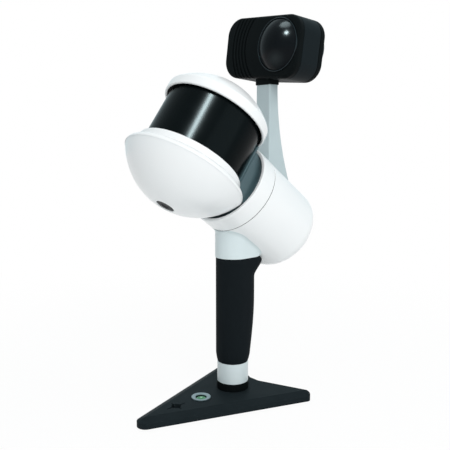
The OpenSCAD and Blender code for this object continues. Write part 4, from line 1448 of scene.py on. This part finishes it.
    def _lens(self, side: str, place: Matrix, x: float) -> Piece:
        """Builds a lens: its bright rim and its dark glass dome.

        Args:
            side: which lens, for the pieces' names.
            place: the shell's frame.
            x: where the lens stands.

        Returns:
            The dome.
        """
        axis = self._lens_axis(place, x)
        foot, face = self.d / 2 - self.shell, self.d / 2 + self.ring_proud
        bore = self.ring_r - self.ring_w
        rim = [(bore, foot), (self.ring_r, foot), (self.ring_r, face, 0.5), (bore, face, 0.35)]
        ring = lathe(f"{side}_rim", rounded(rim, True), axis, True, 128)
        fitted(ring, BODY, "lens_rim", CUT_RIM, f"{side}_lens_ring")
        glass_r = bore - 0.1
        seat = self.d / 2 - self.seat
        hub = seat - math.sqrt(self.dome_r ** 2 - glass_r ** 2)
        edge = math.degrees(math.acos(glass_r / self.dome_r))
        outer = arc((0.0, hub), self.dome_r, 90.0, edge, 40)
        dome = lathe(f"{side}_dome", outer + [(glass_r, foot), (0.0, foot)], axis, False, 128)
        return fitted(dome, BODY, "lens_glass", OPTICAL_GLASS, f"{side}_lens")


class Shade(Enum):
    """Outline of a lamp, which polished pieces mirror."""

    BOX = "RECTANGLE"
    ROUND = "ELLIPSE"


@dataclass(frozen=True)
class Lamp:
    """One soft lamp, hung round the object."""

    name: str
    azimuth: float
    rise: float
    far: float
    size: tuple[float, float]
    watts: float
    tint: str = "#FFFFFF"
    shape: Shade = Shade.BOX
    blocked: bool = True
    aim: float = 0.2

    def hang(self, receivers: Sequence[Piece] = ()) -> None:
        """Hangs the lamp.

        Args:
            receivers: the polished pieces that mirror it; without them, it lights every piece's matte side.
        """
        data = bpy.data.lights.new(self.name, "AREA")
        data.shape = self.shape.value
        data.size, data.size_y = self.size
        data.energy = self.watts
        data.color = linear(self.tint)[:3]
        data.use_shadow = self.blocked
        lamp = bpy.data.objects.new(self.name, data)
        a, e = math.radians(self.azimuth), math.radians(self.rise)
        away = Vector((math.sin(a) * math.cos(e), -math.cos(a) * math.cos(e), math.sin(e)))
        lamp.location = Vector((0.0, 0.0, self.aim)) + away * self.far
        lamp.rotation_euler = away.to_track_quat("Z", "Y").to_euler()
        lamp.visible_diffuse = not receivers
        lamp.visible_glossy = bool(receivers)
        if receivers:
            lit = bpy.data.collections.new(f"{self.name}_mirrors")
            for piece in receivers:
                lit.objects.link(piece)
            lamp.light_linking.receiver_collection = lit
        bpy.context.scene.collection.objects.link(lamp)


@dataclass
class Studio:
    """White studio: floor, soft lamps and the camera of the photograph."""

    eye: tuple[float, float, float] = (0.4451, -0.4038, 0.2545)
    heading: float = 48.52
    dip: float = 7.79
    lens: float = 50.0
    sensor: float = 36.0
    ambient: float = 0.43
    floor_half: float = 4000.0
    floor_drop: float = 0.0003
    near: float = 0.1
    far: float = 0.7
    near_white: float = 0.92

    def build(self) -> None:
        """Builds the camera, the floor, the lamps and the world."""
        scene = bpy.context.scene
        scene.view_settings.view_transform = "Standard"
        data = bpy.data.cameras.new("camera")
        data.lens = self.lens
        data.sensor_width = self.sensor
        camera = bpy.data.objects.new("camera", data)
        camera.location = self.eye
        camera.rotation_euler = (math.radians(90.0 - self.dip), 0.0, math.radians(self.heading))
        scene.collection.objects.link(camera)
        scene.camera = camera
        self._floor()
        self._world()
        for name, azimuth, rise, watts in (("front", 64.0, 31.0, 15.2), ("side", 128.0, 48.0, 4.0),
                                           ("top", 20.0, 80.0, 4.8), ("back", 232.0, 35.0, 6.0)):
            Lamp(name, azimuth, rise, 1.7, (1.0, 1.0), watts).hang()

    def glints(self, window: Piece, domes: Sequence[Piece]) -> None:
        """Hangs the lamps that the window and the lenses mirror.

        Args:
            window: the dark window.
            domes: the lenses.
        """
        cool = "#E5FBFF"
        Lamp("strip", 44.8, 52.8, 1.6, (0.17, 0.4), 92.0, cool).hang([window])
        Lamp("flank", 105.0, 18.0, 1.55, (1.2, 0.9), 6.0, cool).hang([window])
        Lamp("spot", 23.9, 48.8, 1.7, (0.3, 0.3), 92.0, cool, Shade.ROUND).hang(domes)
        Lamp("overhead", -18.0, 76.0, 1.75, (0.85, 0.68), 40.0, cool, Shade.ROUND).hang(domes)
        Lamp("underglow", -28.0, -30.0, 1.5, (1.6, 1.0), 120.0, cool, Shade.ROUND, False).hang(domes)

    def _white_rays(self, tree: Tree) -> Socket:
        """Finds the rays that see the background directly, in a mirror or through glass.

        Args:
            tree: the tree of the floor or the world.

        Returns:
            The socket that is 1 for them.
        """
        path = add_node(tree, "ShaderNodeLightPath").outputs
        seen = path["Is Camera Ray"]
        for kind in ("Is Glossy Ray", "Is Transmission Ray"):
            either = add_node(tree, "ShaderNodeMath", {0: seen, 1: path[kind]}, operation="MAXIMUM")
            seen = either.outputs[0]
        return seen

    def _world(self) -> None:
        """Sets the white surroundings and the plain ambient light."""
        world = bpy.data.worlds.new("studio")
        world.use_nodes = True
        tree = world.node_tree
        tree.nodes.clear()
        white = self._white_rays(tree)
        strength = add_node(tree, "ShaderNodeMapRange",
                            {"Value": white, "To Min": self.ambient, "To Max": 1.0})
        soft = add_node(tree, "ShaderNodeMix", {0: white, 6: linear("#F6FDFF"), 7: linear("#DFF3F8")},
                        data_type="RGBA")
        seen = add_node(tree, "ShaderNodeLightPath").outputs["Is Camera Ray"]
        colour = add_node(tree, "ShaderNodeMix", {0: seen, 6: soft.outputs[2], 7: linear("#FFFFFF")},
                          data_type="RGBA")
        light = add_node(tree, "ShaderNodeBackground",
                         {"Color": colour.outputs[2], "Strength": strength.outputs[0]})
        add_node(tree, "ShaderNodeOutputWorld", {"Surface": light.outputs[0]})
        bpy.context.scene.world = world

    def _floor(self) -> None:
        """Adds the pale floor, which fades to the background's white away from the object."""
        bm = bmesh.new()
        bmesh.ops.create_grid(bm, x_segments=1, y_segments=1, size=self.floor_half)
        floor = mesh_object("floor", bm, Matrix.Translation((0.0, 0.0, -self.floor_drop)))
        paint = bpy.data.materials.new("white_paper_sweep")
        paint.use_nodes = True
        tree = paint.node_tree
        tree.nodes.clear()
        matte = add_node(tree, "ShaderNodeBsdfDiffuse", {"Color": linear("#F2F4F4")})
        glow = add_node(tree, "ShaderNodeEmission", {"Color": linear("#FFFFFF"), "Strength": 1.0})
        place = add_node(tree, "ShaderNodeTexCoord").outputs["Object"]
        away = add_node(tree, "ShaderNodeVectorMath", {0: place}, operation="LENGTH")
        whiter = add_node(tree, "ShaderNodeMapRange",
                          {"Value": away.outputs["Value"], "From Min": self.near, "From Max": self.far,
                           "To Min": self.near_white, "To Max": 1.0}, interpolation_type="SMOOTHSTEP")
        share = add_node(tree, "ShaderNodeMath", {0: self._white_rays(tree), 1: whiter.outputs[0]},
                         operation="MULTIPLY")
        mixed = add_node(tree, "ShaderNodeMixShader",
                         {0: share.outputs[0], 1: matte.outputs[0], 2: glow.outputs[0]})
        add_node(tree, "ShaderNodeOutputMaterial", {"Surface": mixed.outputs[0]})
        floor.data.materials.append(paint)


def dress_nodes() -> None:
    """Gives each CAD node that still shows the finish of its slot."""
    slots = {part["node"]: part["material_slot"] for part in frame["record"]["subparts"]}
    for name, node in frame["nodes"].items():
        if node.hide_render:
            continue
        node.data.materials.clear()
        node.data.materials.append(SLOT_FINISH[slots[name]].material())
        LOG.info("%s keeps its CAD shape as %s", name, slots[name])


def main() -> None:
    """Builds the studio and every sub-assembly in order."""
    logging.basicConfig(level=logging.INFO, format="%(name)s: %(message)s")
    studio = Studio()
    studio.build()
    housing = MotorHousing()
    camera = PanoramaCamera()
    BasePlate().build()
    Handle().build(housing)
    housing.build()
    Rotor().build()
    window = LidarHead().build()
    Mast().build(camera)
    studio.glints(window, camera.build())
    dress_nodes()


if __name__ == "__main__":
    main()
